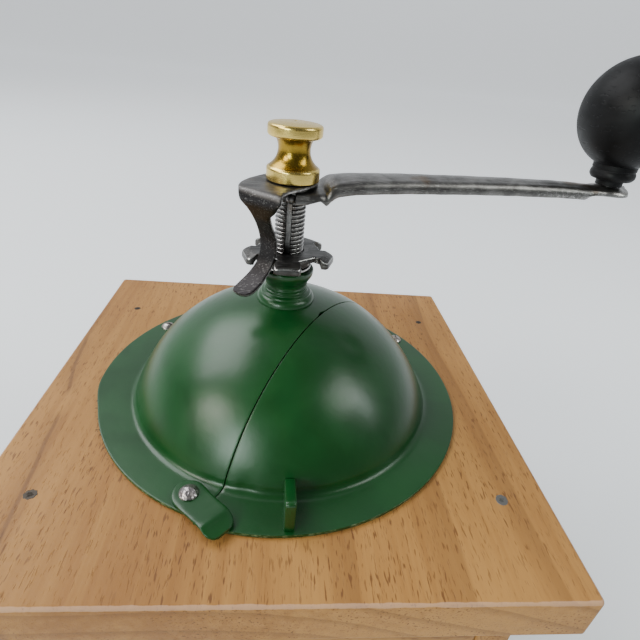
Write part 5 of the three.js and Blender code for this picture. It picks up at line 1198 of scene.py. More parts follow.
@dataclass
class Latch:
    """The tab that holds the door at the front, with the rivet it turns on, and the two slotted screws."""

    finishes: Finishes
    seat: float = 1.5
    width: float = 8.6
    length: float = 15.0
    crease: float = 10.8
    bow: float = 1.4
    sheet: float = 1.0
    azimuth: float = -47.0
    rivet: tuple[float, float] = (54.0, -114.8)
    pivot: tuple[float, float] = (56.2, 32.9)
    fixed: tuple[float, float] = (56.0, 144.6)
    head: float = 2.5
    head_height: float = 1.6
    slot: float = 0.33
    slot_depth: float = 0.75
    skirt: float = 0.35
    shank: float = 0.2

    def tab(self) -> None:
        """The tab: a strip bowed along its length, round at the rivet and with blunt corners at its bent tip.

        Across each station the half width is the plan's. The height follows the bow and drops after the
        crease.
        """
        half, place = self.width / 2, polar(*self.rivet)
        round_end = -half * np.cos(np.linspace(0, np.pi / 2, 14))
        along = np.concatenate([round_end, np.linspace(0, self.length, 50)[1:]])
        tip = np.clip((along - (self.length - 2.8)) / 2.8, 0, 1)
        circle, taper = np.sqrt(np.maximum(half ** 2 - along ** 2, 0)), half - 0.2 * ease(0, 8, along)
        width = np.where(along < 0, circle, taper)
        width = np.maximum(width - 2.6 * (1 - np.sqrt(1 - tip ** 2 * 0.98)), 0.02)
        rise = flow([-half, half * 0.5, 7.0, self.crease, 12.6, self.length],
                    [0, 0.05, 0.75, self.bow, 0.75, -0.02], along)
        turn = np.linspace(0, 2 * np.pi, 28, endpoint=False)
        side = np.sign(np.cos(turn)) * np.abs(np.cos(turn)) ** 0.35
        up = np.sign(np.sin(turn)) * np.abs(np.sin(turn)) ** 0.5
        edge = np.maximum(np.abs(side) - 0.86, 0) / 0.14
        y = side[None, :] * width[:, None]
        z = rise[:, None] + self.sheet / 2 + up[None, :] * self.sheet / 2
        x = along[:, None] + 0 * y
        grid = np.stack([x, y, z + 0.1 * np.sin(x * 0.9 + y) * ease(9, 15, x)], 2)
        first, last = grid[:1].copy(), grid[-1:].copy()
        first[..., 1], last[..., 1] = 0, 0
        first[..., 2], last[..., 2] = rise[0] + self.sheet / 2, rise[-1] + self.sheet / 2
        grid = np.concatenate([first, grid, last])
        near_tip = np.concatenate([[0], ease(self.length - 1.2, self.length, along), [1]])
        crest = np.concatenate([[0], np.exp(-((along - self.crease - 0.4) / 0.35) ** 2), [0]])
        ends = np.maximum(near_tip * 0.85, crest * 0.4)[:, None]
        wear = np.clip(np.maximum(edge[None, :] * 0.72, ends), 0, 1)
        grid = placed(grid, (*place, BOARD_TOP + self.seat), self.azimuth)
        new_piece("latch_tab", grid, "latch", self.finishes.enamel, ["latch_tab"], wear=wear)

    def screw(self, name: str, place: tuple[float, float], seat: float, twist: float,
              material: bpy.types.Material, slotted: bool = True) -> None:
        """A domed head: height h (1 - (r/R)^2.4) over the head's disc, less the slot, on a short shank.

        The grid's columns are chords parallel to the slot, so the slot's walls stay straight.

        Args:
            name: the CAD node that it stands for.
            place: its radius and azimuth on the board.
            seat: height of the head's underside above the board.
            twist: degrees from the line through the axis to the slot.
            material: its finish.
            slotted: whether it has a slot.
        """
        radius, slot, middle = self.head, self.slot, polar(*place)
        chord = np.sin(np.linspace(-np.pi / 2, np.pi / 2, 25)) * radius
        if slotted:
            walls = np.array([-slot - 0.02, -slot, slot, slot + 0.02])
            chord = np.sort(np.concatenate([chord[np.abs(chord) > slot + 0.05], walls, [0.0]]))
        half = np.sqrt(np.maximum(radius ** 2 - chord ** 2, 0))
        share = np.sin(np.linspace(-np.pi / 2, np.pi / 2, 25))
        x = share[:, None] * half[None, :]
        y = chord[None, :] + 0 * x
        out = np.clip(np.hypot(x, y) / radius, 0, 1)
        top = self.skirt + (self.head_height - self.skirt) * (1 - out ** 2.4)
        if slotted:
            top = np.where(np.abs(y) <= slot, np.minimum(top, self.head_height - self.slot_depth), top)
        dome = np.stack([x, y, top], 2)
        base = np.stack([x, y, np.full_like(top, -self.shank)], 2)
        grid = np.concatenate([dome, base[::-1]])
        wear = np.concatenate([ease(0.75, 1.0, out), 0 * out]) * 0.7
        grid = placed(grid, (*middle, BOARD_TOP + seat), place[1] + twist)
        piece = new_piece(name, grid, "root", material, [name], wrap_rows=True,
                          wrap_columns=False, wear=wear, crease=45)
        work = bmesh.new()
        work.from_mesh(piece.data)
        rims = [e for e in work.edges if e.is_boundary]
        if rims:
            bmesh.ops.holes_fill(work, edges=rims)
            bmesh.ops.recalc_face_normals(work, faces=work.faces)
            work.to_mesh(piece.data)
        work.free()

    def build(self) -> None:
        """Builds the tab and the three heads."""
        self.tab()
        f = self.finishes
        self.screw("latch_screw", self.rivet, self.seat + self.sheet + 0.1, 20.0, f.rivet, slotted=False)
        self.screw("door_pivot_screw", self.pivot, self.seat - 0.2, 62.0, f.nickel)
        self.screw("flange_screw", self.fixed, self.seat - 0.2, 20.0, f.nickel)


# The mill's upright


@dataclass
class Neck:
    """The turned neck on the dome's crown, painted with it."""

    finishes: Finishes
    dome: Dome
    waist: float = 6.4
    bead: float = 8.7
    cup: float = 8.0
    top: float = 45.4
    bore: float = 4.9

    def build(self) -> None:
        """A bead on the crown, a ribbed waist and a cup under the star nut, as one turned section."""
        rim = self.dome.flange_top + float(self.dome.height_at(self.bead)) + 0.05
        seat = self.dome.flange_top + float(self.dome.height_at(self.waist)) - 2.0
        waist, bead, cup, top = self.waist, self.bead, self.cup, self.top
        corners = [(self.bore, seat), (waist, seat), (waist, rim + 0.2), (bead + 0.25, rim - 0.15),
                   (bead + 0.2, rim + 0.75), (bead - 0.35, rim + 1.9), (waist + 1.35, rim + 2.25),
                   (waist + 1.25, rim + 2.75), (waist + 0.25, rim + 3.1), (waist + 0.35, rim + 3.9),
                   (waist, rim + 4.1), (waist + 0.2, rim + 4.9), (waist - 0.05, rim + 5.2),
                   (waist + 0.05, top - 4.3), (cup - 0.75, top - 3.2), (cup, top - 1.7), (cup, top - 0.1),
                   (self.bore, top - 0.05)]
        cuts = [0, 0, 0, 0.3, 0.6, 0.7, 0.15, 0.25, 0.3, 0.2, 0.15, 0.25, 0.15, 0.8, 0.8, 0.7, 0.4, 0]
        path, mask = rounded(corners, cuts, 7)
        wear = (mask * (path[:, 0] > self.waist + 1.0) * 0.5)[:, None]
        new_piece("neck_collar", placed(turned(path, 96), (0, 0, BOARD_TOP)), "root", self.finishes.enamel,
                  ["neck_collar"], wrap_rows=True, wear=wear, crease=45)


@dataclass
class Spindle:
    """The threaded spindle with its key groove, the thrust washer and the star nut that sets the grind."""

    finishes: Finishes
    radius: float = 4.375
    depth: float = 0.62
    pitch: float = 1.25
    thread: tuple[float, float] = (49.3, 67.8)
    foot: float = -54.0
    tail: float = 2.7
    tail_top: float = -46.0
    shaft: float = 4.2
    burr_seat: float = 6.0
    burr_seat_low: float = -25.7
    burr_seat_high: float = -23.5
    collar: float = 7.2
    collar_low: float = 3.0
    collar_high: float = 6.0
    stud: float = 2.65
    stud_top: float = 71.2
    washer: tuple[float, float, float, float] = (4.7, 7.0, 45.75, 46.5)
    key_azimuth: float = -97.0
    key_width: float = 2.0
    key_depth: float = 1.1
    star_top: float = 51.1
    star_bottom: float = 46.8
    star_bore: float = 4.7
    star_edge: float = 0.55
    hub: float = 6.8
    lobes: int = 5
    tip: float = 13.4
    lobe_width: float = 7.6
    notch: float = 9.2
    notch_width: float = 7.2
    plate: float = 1.8
    tooth: float = 3.1
    tooth_thickness: float = 2.2
    droop: float = 1.1
    droop_start: float = 11.0
    first_azimuth: float = -91.0

    def build(self) -> None:
        """Builds the spindle, the washer and the star nut."""
        self.rod()
        bore, rim, low, high = self.washer
        corners = [(bore, low), (rim, low), (rim, high), (bore, high)]
        path, mask = rounded(corners, [0, 0.2, 0.2, 0], loop=True)
        new_piece("thrust_washer", placed(turned(path, 72), (0, 0, BOARD_TOP)), "washer", self.finishes.steel,
                  ["thrust_washer"], wrap_rows=True, wear=mask[:, None])
        self.star()

    def rod(self) -> None:
        """The spindle: radius R less the thread's wave of (height / pitch - turn), less the key groove.

        The wave is a flat-topped cosine, so the crests are blunt; it fades out at both ends of the thread.
        """
        low, high = self.thread
        plain = [(0.0, self.foot), (self.tail, self.foot), (self.tail, self.tail_top),
                 (self.shaft, self.tail_top), (self.shaft, self.burr_seat_low),
                 (self.burr_seat, self.burr_seat_low), (self.burr_seat, self.burr_seat_high),
                 (self.shaft, self.burr_seat_high), (self.shaft, self.collar_low),
                 (self.collar, self.collar_low), (self.collar, self.collar_high),
                 (self.shaft, self.collar_high), (self.shaft, 39.6)]
        cut = np.arange(40.0, high, self.pitch / 14)
        ends = [(self.radius, high), (self.stud, high), (self.stud, self.stud_top), (0.0, self.stud_top)]
        profile = np.concatenate([plain, np.column_stack([np.full(len(cut), self.radius), cut]), ends])
        base, z = profile.T
        angle = np.linspace(0, 2 * np.pi, 160, endpoint=False)
        phase = z[:, None] / self.pitch - angle[None, :] / (2 * np.pi)
        wave = 0.5 - 0.5 * np.cos(2 * np.pi * phase)
        wave = np.clip(wave * 1.5 - 0.12, 0, 1)
        live = ease(low - 1.0, low, z) * (1 - ease(high - 0.4, high, z)) * (base == self.radius)
        radius = base[:, None] - self.depth * wave * live[:, None]
        lean = angle[None, :] - np.radians(self.key_azimuth)
        inside = (np.abs(self.radius * np.sin(lean)) < self.key_width / 2) & (np.cos(lean) > 0)
        floor = (self.radius - self.key_depth) / np.maximum(np.cos(lean), 0.3)
        keyed = inside & (base == self.radius)[:, None]
        radius = np.where(keyed, np.minimum(radius, floor), radius)
        grid = np.stack([radius * np.cos(angle), radius * np.sin(angle), z[:, None] + 0 * radius], 2)
        wear = np.clip(1 - wave * 1.8, 0, 1) * live[:, None] * ~keyed
        new_piece("spindle", placed(grid, (0, 0, BOARD_TOP)), "spindle_train", self.finishes.thread,
                  ["spindle"], wear=wear, crease=50)

    def outline(self) -> Array:
        """The star: five straight-sided lobes with flat-bottomed notches between them and round corners."""
        lobe, notch, half_turn = self.lobe_width / 2, self.notch_width / 2, np.pi / self.lobes
        mouth = (lobe + notch * np.cos(half_turn)) / np.sin(half_turn)
        corners, cuts = [], []
        for k in range(self.lobes):
            azimuth = np.radians(self.first_azimuth + 360 * k / self.lobes)
            for along, side, lean, cut in (
                    (self.tip, -lobe, 0, 1.3), (self.tip, lobe, 0, 1.3), (mouth, -notch, half_turn, 1.0),
                    (self.notch, -notch, half_turn, 0.9), (self.notch, notch, half_turn, 0.9),
                    (mouth, notch, half_turn, 1.0)):
                a = azimuth + lean
                corners.append((along * np.cos(a) - side * np.sin(a), along * np.sin(a) + side * np.cos(a)))
                cuts.append(cut)
        path, _ = rounded(corners, cuts, 9, loop=True)
        length = np.concatenate([[0], np.cumsum(np.linalg.norm(np.diff(path, axis=0), axis=1))])
        at = np.linspace(0, length[-1], 420)
        return np.stack([np.interp(at, length, path[:, 0]), np.interp(at, length, path[:, 1])], 1)

    def star(self) -> None:
        """The nut: a height for the top and one for the underside over the star, joined by a round edge.

        Each column runs from the bore to a point of the outline. The top droops beyond a radius, and the
        underside steps down at the hub and under each lobe's turned-down tooth.
        """
        rim = self.outline()
        azimuth = np.unwrap(np.arctan2(rim[:, 1], rim[:, 0]))
        even = np.linspace(azimuth[0], azimuth[0] + 2 * np.pi, len(rim))
        lean = 0.35 * azimuth + 0.65 * even
        bore = self.star_bore * np.stack([np.cos(lean), np.sin(lean)], 1)
        length = np.linalg.norm(rim - bore, axis=1)
        edge = self.star_edge

        def across(share: Array) -> Array:
            """Points at a share of the way out, for every column."""
            return bore[None] + (rim - bore)[None] * share[:, :, None]

        def top_at(p: Array) -> Array:
            """Upper height over points of the plane: level, then drooping."""
            out = np.linalg.norm(p, axis=2)
            slope = self.droop / (self.tip - self.droop_start)
            return self.star_top - slope * np.maximum(out - self.droop_start, 0) - 0.12 * ease(7.0, 5.0, out)

        def under_at(p: Array) -> Array:
            """Lower height over points of the plane: hub, plate and teeth."""
            out = np.linalg.norm(p, axis=2)
            turn = np.degrees(np.arctan2(p[..., 1], p[..., 0])) - self.first_azimuth
            folded = (turn + 180 / self.lobes) % (360 / self.lobes) - 180 / self.lobes
            reach = out * np.cos(np.radians(folded))
            plate = top_at(p) - self.plate
            inside = self.tip - self.tooth_thickness
            toothed = ease(inside - 0.25, inside + 0.25, reach)
            low = plate + (self.star_top - self.tooth - plate) * toothed
            return low + (self.star_bottom - low) * ease(self.hub + 0.15, self.hub - 0.15, out)

        inner = np.linspace(0, 1, 26)[:, None] * (1 - edge / length)[None, :]
        tops, unders = across(inner), across(inner[::-1])
        bend = np.radians(np.linspace(0, 90, 6))[1:, None]
        out_share = 1 - edge * (1 - np.sin(bend)) / length[None, :]
        rim_top, rim_low = across(out_share), across(out_share[::-1])
        high = top_at(rim_top) - edge * (1 - np.cos(bend))
        low = under_at(rim_low) + edge * (1 - np.cos(bend[::-1])) * 0.6
        grid = np.concatenate([np.concatenate([p, z[..., None]], 2) for p, z in (
            (tops, top_at(tops)), (rim_top, high), (rim_low, low), (unders, under_at(unders)))])
        wear = np.concatenate([np.zeros(26), np.sin(2 * bend[:, 0]) * 0.9, np.sin(2 * bend[::-1, 0]) * 0.9,
                               np.zeros(26)])[:, None]
        new_piece("star_nut", placed(grid, (0, 0, BOARD_TOP)), "star", self.finishes.star,
                  ["star_nut"], wrap_rows=True, wear=wear, crease=40)


@dataclass
class Crank:
    """The rolled arm, the sprung pawl under the brass nut, and the nut."""

    finishes: Finishes
    azimuth: float = 11.0
    length: float = 107.5
    hub_top: float = 69.7
    rise: float = 4.0
    sheet: float = 1.6
    crown: float = 0.55
    shoulder: float = 2.5
    pawl_azimuth: float = 234.7
    pawl_level: float = 70.5
    pawl_sheet: float = 1.0
    stations: dict[str, list[float]] = field(default_factory=lambda: {
        "along": [-0.002, 0.076, 0.090, 0.112, 0.17, 0.31, 0.51, 0.79, 0.885, 0.915, 0.955, 0.977, 1.0, 1.023,
                  1.043, 1.056, 1.0625],
        "half": [7.28, 7.2, 7.1, 6.82, 6.45, 6.0, 5.6, 5.2, 5.1, 4.9, 5.45, 6.42, 6.9, 6.42, 5.1, 3.4, 1.4],
        "rise": [0.0, 0.0, 0.4, 0.72, 0.87, 0.98, 1.0, 0.9, 0.8, 0.73] + [0.675] * 7,
        "skirt": [3.1, 3.62] + [3.7] * 7 + [2.3] + [1.9] * 7,
    })
    hub: tuple[float, float, float] = (5.3, 66.4, 69.6)
    key: tuple[float, float, float] = (-0.15, -4.65, 67.3)
    key_radius: float = 1.5
    nut_seat: float = 71.3
    nut_waist: tuple[float, float, float] = (9.65, 8.1, 5.25)

    def section(self, half: Array, skirt: Array, front_skirt: Array) -> Array:
        """The channel's outline at every station: crown, shoulders, skirts with round feet, and the hollow.

        Args:
            half: half widths.
            skirt: depth of the back skirt below the crown's foot.
            front_skirt: depth of the front skirt.

        Returns:
            Stations x points x 2, as (side, height).
        """
        shallow = np.minimum(skirt, front_skirt)
        corner = np.minimum(np.minimum(self.shoulder, half * 0.45), shallow * 0.9)[:, None]
        inner = np.maximum(half - self.sheet, half * 0.35)[:, None]
        h = half[:, None]
        ceiling = self.crown - self.sheet
        quarter = np.radians(np.linspace(0, 90, 8))[None, :]
        foot = 0.5

        def side(sign: float, depth: Array) -> tuple[Array, Array]:
            """One side from the skirt's inner foot up to the shoulder."""
            mid, round_foot = (h + inner) / 2, np.radians(np.linspace(180, 360, 9))[None, :]
            wide = (h - inner) / 2
            fx = mid + wide * np.cos(round_foot)
            fz = -depth[:, None] + foot * 0.7 * (1 + np.sin(round_foot))
            sx = h - corner + corner * np.cos(quarter)
            sz = -corner + corner * np.sin(quarter)
            return sign * np.concatenate([fx, sx], 1), np.concatenate([fz, sz], 1)

        bx, bz = side(1.0, skirt)
        fx, fz = side(-1.0, front_skirt)
        share = np.linspace(-1, 1, 13)[None, 1:-1]
        cx = -(h - corner) * share
        cz = self.crown * (1 - share ** 2) + 0 * cx
        ease_in, level = np.minimum(self.sheet / 2, shallow[:, None] * 0.2), ceiling + 0 * inner
        hx = np.concatenate([-inner, -inner + ease_in, inner - ease_in, inner], 1)
        hz = np.concatenate([ceiling - ease_in, level, level, ceiling - ease_in], 1)
        x = np.concatenate([bx, cx, fx[:, ::-1], hx], 1)
        z = np.concatenate([bz, cz, fz[:, ::-1], hz], 1)
        return np.stack([x, z], 2)

    def arm(self) -> None:
        """Carries the channel from the plate to the eye, relieved in the front skirt near the spindle."""
        at = np.concatenate([np.linspace(-0.002, 0.11, 60), np.linspace(0.11, 0.88, 90)[1:],
                             np.linspace(0.88, 1.0625, 60)[1:]])
        s = self.stations
        half, rise = flow(s["along"], s["half"], at), flow(s["along"], s["rise"], at)
        skirt, x = flow(s["along"], s["skirt"], at), at * self.length
        relief = 1.5 * np.clip((x - 2.2) / 4.2, 0, 1) * (1 - ease(6.4, 9.4, x))
        outline = self.section(half, skirt, skirt - relief)
        height = self.hub_top + rise * self.rise - self.crown
        side, up = outline[..., 0], outline[..., 1]
        grid = np.stack([x[:, None] + 0 * side, side, height[:, None] + up], 2)
        first, last = grid[:1].copy(), grid[-1:].copy()
        first[...] = grid[:1].mean(1, keepdims=True)
        last[...] = grid[-1:].mean(1, keepdims=True)
        last[..., 0] += 0.25
        grid = np.concatenate([first, grid, last])
        lumps = 0.05 * np.sin(grid[..., 0] * 0.61) * np.sin(grid[..., 0] * 0.23 + 1.0)
        grid[..., 2] += lumps
        shape = np.zeros(grid.shape[:2])
        shape[:, 12:17] = 0.30
        shape[:, 33:37] = 0.34
        out = np.concatenate([[at[0]], at, [at[-1]]])[:, None]
        wear = shape * ease(0.3, 0.9, out) * 1.6 + 0.5 * ease(0.93, 0.98, out)
        new_piece("crank_arm", placed(grid, (0, 0, BOARD_TOP), self.azimuth), "spindle_train",
                  self.finishes.steel, ["crank_arm"], wear=np.clip(wear, 0, 0.8),
                  crease=40)
        rim, low, high = self.hub
        path, _ = rounded([(0, low), (rim, low), (rim, high), (0, high)], [0, 0.3, 0, 0])
        new_piece("arm_hub", placed(turned(path, 48), (0, 0, BOARD_TOP)), "spindle_train",
                  self.finishes.steel)
        self.key_end()

    def key_end(self) -> None:
        """The round end of the key, which shows at the top of the spindle's groove under the pawl's plate."""
        x, y, level = self.key
        ball = arc((0, 0), self.key_radius, -90, 90, 16)
        ball[0, 0] = ball[-1, 0] = 0.0
        new_piece("key_end", placed(turned(ball, 32), (x, y, BOARD_TOP + level)), "spindle_train",
                  self.finishes.steel, wear=0.2)

    def pawl(self) -> None:
        """The pawl: a strip carried over the plate, round the fold and down the tongue.

        Stations give the way out, the height and both edges. The section is a flat bar with round edges, laid
        across the path's normal.
        """
        out = [-8.1, -8.0, -7.2, -5.4, -2.5, 1.5, 6, 9.5, 12.5, 14.4, 15.4, 15.8, 15.6, 14.5, 13.2, 12, 10.9,
               10.2, 10, 10.1, 10.7, 11.9, 13.9, 16.2, 18.0, 19.2, 19.8, 19.9]
        drop = [0] * 9 + [0.05, 0.4, 1.2, 2.5, 4.5, 6.9, 9.3, 11.8, 14.1, 16.7, 19, 21, 23, 25.1, 26.6, 27.5,
                          28.0, 28.2, 28.22]
        left = [-3.2, -5, -7.3, -8.9, -9.7, -9.9, -9.8, -9.2, -8.2, -7.1, -6.2, -5.8, -5.5, -4.1, -3.2, -2.8,
                -2.7, -2.7, -2.7, -2.9, -3.2, -3.8, -4.6, -5.2, -5.4, -4.8, -3.3, -2.2]
        right = [-0.6, 1.4, 3.4, 5.2, 6.4, 6.7, 6.3, 5.9, 6.3, 7, 7.7, 7.8, 6.9, 5.2, 2.8, 2.6, 2.9, 3.1, 2.9,
                 2.6, 2.3, 2, 1.7, 1.5, 1.0, 0.0, -1.3, -2.0]
        knots = np.concatenate([[0], np.cumsum(np.hypot(np.diff(out), np.diff(drop)))])
        at = np.linspace(0, knots[-1], 260)
        smooth = np.ones(9) / 9
        x, z, a, b = (flow(knots, v, at) for v in (out, drop, left, right))
        x, z = (np.convolve(np.pad(v, 4, mode="edge"), smooth, "valid") for v in (x, z))
        z = self.pawl_level - z
        slope = np.stack([np.gradient(x), np.gradient(z)], 1)
        slope /= np.linalg.norm(slope, axis=1, keepdims=True)
        normal = np.stack([-slope[:, 1], slope[:, 0]], 1)
        half, edge = self.pawl_sheet / 2, 0.42
        bend = np.radians(np.linspace(-90, 90, 7))
        share = np.linspace(0, 1, 11)[1:-1]
        width = (b - a)[:, None]
        room = np.minimum(edge, width * 0.45)
        right_y, right_t = b[:, None] - room * (1 - np.cos(bend)), half * np.sin(bend)[None, :] + 0 * width
        left_y, left_t = a[:, None] + room * (1 - np.cos(bend)), half * np.sin(bend)[None, ::-1] + 0 * width
        top_y = b[:, None] - room - (width - 2 * room) * share
        low_y = a[:, None] + room + (width - 2 * room) * share
        y = np.concatenate([right_y, top_y, left_y, low_y], 1)
        t = np.concatenate([right_t, half + 0 * top_y, left_t, -half + 0 * low_y], 1)
        grid = np.stack([x[:, None] + normal[:, :1] * t, y, z[:, None] + normal[:, 1:] * t], 2)
        ends = [row.mean(1, keepdims=True) + 0 * row for row in (grid[:1], grid[-1:])]
        grid = np.concatenate([ends[0], grid, ends[1]])
        mask = np.zeros(grid.shape[1])
        mask[:7], mask[16:23] = np.cos(bend) ** 2, np.cos(bend) ** 2
        along = np.concatenate([[0], at, [at[-1]]])[:, None]
        fold = np.exp(-((along - 25.3) / 0.7) ** 2) * 0.55
        wear = np.maximum(mask[None, :] * 0.8, fold)
        new_piece("pawl_spring", placed(grid, (0, 0, BOARD_TOP), self.pawl_azimuth), "spindle_train",
                  self.finishes.spring, ["pawl_spring"], wear=wear, crease=50)

    def brass_nut(self) -> None:
        """The nut: foot, flare, waist, undercut and a crowned head with a lathe centre in it."""
        waist_x, waist_z, hollow = self.nut_waist
        waist = arc((waist_x, waist_z), hollow, 128, 232, 30)[::-1]
        corners = [(0.0, 0.05), (7.0, 0.05), (7.35, 0.1), (7.35, 3.05), (7.2, 3.35)]
        head = [(5.75, 11.05), (6.9, 11.2), (7.4, 11.7), (7.4, 14.1), (6.8, 14.5), (3.6, 14.95), (0.45, 15.1),
                (0.0, 14.75)]
        cuts = [0, 0.1, 0.25, 0.3, 0.2] + [0] * len(waist) + [0.15, 0.3, 0.4, 0.5, 0.4, 1.0, 0.1, 0]
        path, mask = rounded([*corners, *waist.tolist(), *head], cuts)
        grid = placed(turned(path, 128), (0, 0, BOARD_TOP + self.nut_seat))
        new_piece("brass_nut", grid, "spindle_train", self.finishes.brass, ["brass_nut"],
                  wear=mask[:, None] * 0.7, crease=30)

    def build(self) -> None:
        """Builds the arm, the pawl and the nut."""
        self.arm()
        self.pawl()
        self.brass_nut()


@dataclass
class Knob:
    """The black turned knob on its riveted pin."""

    finishes: Finishes
    reach: float = 107.5
    azimuth: float = 11.0
    seat: float = 72.7
    radius: float = 16.24
    ball: float = 33.0
    foot: float = 5.1
    neck: float = 4.1
    bore: float = 2.6
    collar: float = 6.9
    throat: float = 6.7
    recess: float = 4.3

    def build(self) -> None:
        """A neck, a collar, a groove and a slightly tall ball with a recess for the pin's head."""
        x, y = polar(self.reach, self.azimuth)
        foot, middle, collar = self.foot, self.foot + self.ball / 2, self.collar
        start = np.degrees(np.arcsin(self.throat / self.radius)) - 90
        end = 90 - np.degrees(np.arcsin(self.recess / self.radius))
        ball = arc((0, 0), 1, start, end, 70) * (self.radius, self.ball / 2) + (0, middle)
        rim = float(ball[-1, 1])
        corners = [(self.bore, 0), (self.neck, 0), (self.neck, 1.9), (collar - 0.8, 1.9), (collar, 2.8),
                   (collar, 3.9), (collar - 0.5, foot), (self.throat, foot + 0.1)]
        low, low_mask = rounded(corners, [0, 0.1, 0.3, 0.3, 0.5, 0.5, 0.3, 0], 7)
        recess = np.array([(self.recess, rim - 0.2), (self.recess, rim - 2.4), (self.bore, rim - 2.4)])
        path = np.concatenate([low, ball, recess])
        wear = np.concatenate([low_mask * 0.6, np.zeros(len(ball) + 3)])[:, None]
        grid = turned(path, 120)
        angle = np.linspace(0, 2 * np.pi, 120, endpoint=False)[None, :]
        lump = 1 + 0.006 * np.sin(2 * angle + 0.6) + 0.004 * np.sin(3 * angle + path[:, 1:2] * 0.2)
        on_collar = ease(1.8, 2.4, path[:, 1:2]) * ease(5.0, 4.4, path[:, 1:2])
        lump = lump + on_collar * 0.02 * np.sin(5 * angle + 0.4) * np.sin(2 * angle)
        outer = path[:, :1] > 5.0
        grid[..., :2] *= np.where(outer, np.minimum(lump, 1.02), 1.0)[..., None]
        reach = np.maximum(np.linalg.norm(grid[..., :2], axis=2), 1e-6)
        grid[..., :2] *= np.minimum(1.0, self.radius / reach)[..., None]
        new_piece("knob", placed(grid, (x, y, BOARD_TOP + self.seat)), "knob", self.finishes.lacquer,
                  ["knob"], wrap_rows=True, wear=wear, crease=45)
        seat = rim - 2.1
        pin, mask = rounded([(0, -3.5), (2.0, -3.5), (3.3, -2.7), (2.3, -2.6), (2.3, seat), (4.0, seat),
                             (3.7, seat + 0.9), (2.0, seat + 1.4), (0, seat + 1.45)],
                            [0, 0.4, 0.2, 0, 0, 0.1, 0.4, 0.6, 0])
        new_piece("knob_pin", placed(turned(pin, 64), (x, y, BOARD_TOP + self.seat)), "spindle_train",
                  self.finishes.steel, ["knob_pin"], wear=mask[:, None] * 0.8)


@dataclass
class MillWorks:
    """What the door and the drawer uncover: the bowl, the burrs and their bridge, on the CAD's own shapes."""

    finishes: Finishes
    frame: dict
    bowl_sheet: float = 1.2
    bowl_lip: float = 47.2
    bowl_throat: float = 24.0
    bowl_reach: float = 18.5
    bowl_depth: float = 28.0
    bowl_opening: float = 15.5
    spring_turns: int = 7
    spring_radius: float = 5.9
    spring_wire: float = 0.6
    spring_low: float = 6.9
    spring_high: float = 30.6

    def bowl(self) -> None:
        """The hopper bowl in section: a lip, a quarter ellipse down to its floor, and the throat's edge."""
        angle, sheet, lip = np.radians(np.linspace(0, 90, 24)), self.bowl_sheet, self.bowl_lip
        fall = (self.bowl_depth - sheet) * np.sin(angle)
        outer = np.stack([self.bowl_throat + self.bowl_reach * np.cos(angle), -sheet - fall], 1)
        inner = outer[::-1] + (-sheet, sheet)
        throat = [(self.bowl_opening, -self.bowl_depth), (self.bowl_opening, sheet - self.bowl_depth)]
        path = np.concatenate([[(lip, 0.0), (lip, -sheet)], outer, throat, inner])
        wear = np.zeros(len(path))
        wear[:2] = 0.6
        new_piece("hopper_bowl", placed(turned(path, 120), (0, 0, BOARD_TOP)), "root", self.finishes.tin,
                  ["hopper_bowl"], wrap_rows=True, wear=wear[:, None])

    def build(self) -> None:
        """Builds the bowl and dresses the CAD nodes that stay."""
        self.bowl()
        f = self.finishes
        dressed = {f.iron: ("ring_burr", "cone_burr", "lower_bridge"), f.brass: ("bridge_bush",),
                   f.steel: ("cone_nut",),
                   f.tin: ("mill_screw_1", "mill_screw_2", "mill_screw_3", "bridge_screw_1", "bridge_screw_2",
                           "base_screw_front_left", "base_screw_front_right", "base_screw_back_left",
                           "base_screw_back_right", "drawer_pull_screw")}
        for material, names in dressed.items():
            for name in names:
                for slot in self.frame["nodes"][name].material_slots:
                    slot.material = material
        self.spring()

    def spring(self) -> None:
        """The thrust spring: a round wire carried along a helix, its ends closed."""
        turns, radius, wire = self.spring_turns, self.spring_radius, self.spring_wire
        at = np.linspace(0, turns * 2 * np.pi, turns * 32 + 1)
        height = np.interp(at, [0, at[-1]], [self.spring_low + wire, self.spring_high - wire])
        path = np.stack([radius * np.cos(at), radius * np.sin(at), height], 1)
        tangent = np.gradient(path, axis=0)
        tangent /= np.linalg.norm(tangent, axis=1, keepdims=True)
        outward = np.stack([np.cos(at), np.sin(at), 0 * at], 1)
        other = np.cross(tangent, outward)
        turn = np.linspace(0, 2 * np.pi, 14, endpoint=False)
        ring = np.cos(turn)[None, :, None] * outward[:, None] + np.sin(turn)[None, :, None] * other[:, None]
        grid = path[:, None] + wire * ring
        ends = [path[:1, None] + 0 * grid[:1], path[-1:, None] + 0 * grid[-1:]]
        grid = np.concatenate([ends[0], grid, ends[1]])
        new_piece("thrust_spring", placed(grid, (0, 0, BOARD_TOP)), "root", self.finishes.steel,
                  ["thrust_spring"], wear=0.1)


# The picture


@dataclass(frozen=True)
class Lamp:
    """One area light: its direction from the dome in degrees, its distance and size in metres, its watts."""

    name: str
    azimuth: float
    elevation: float
    distance: float
    size: tuple[float, float]
    power: float
    colour: tuple[float, float, float]


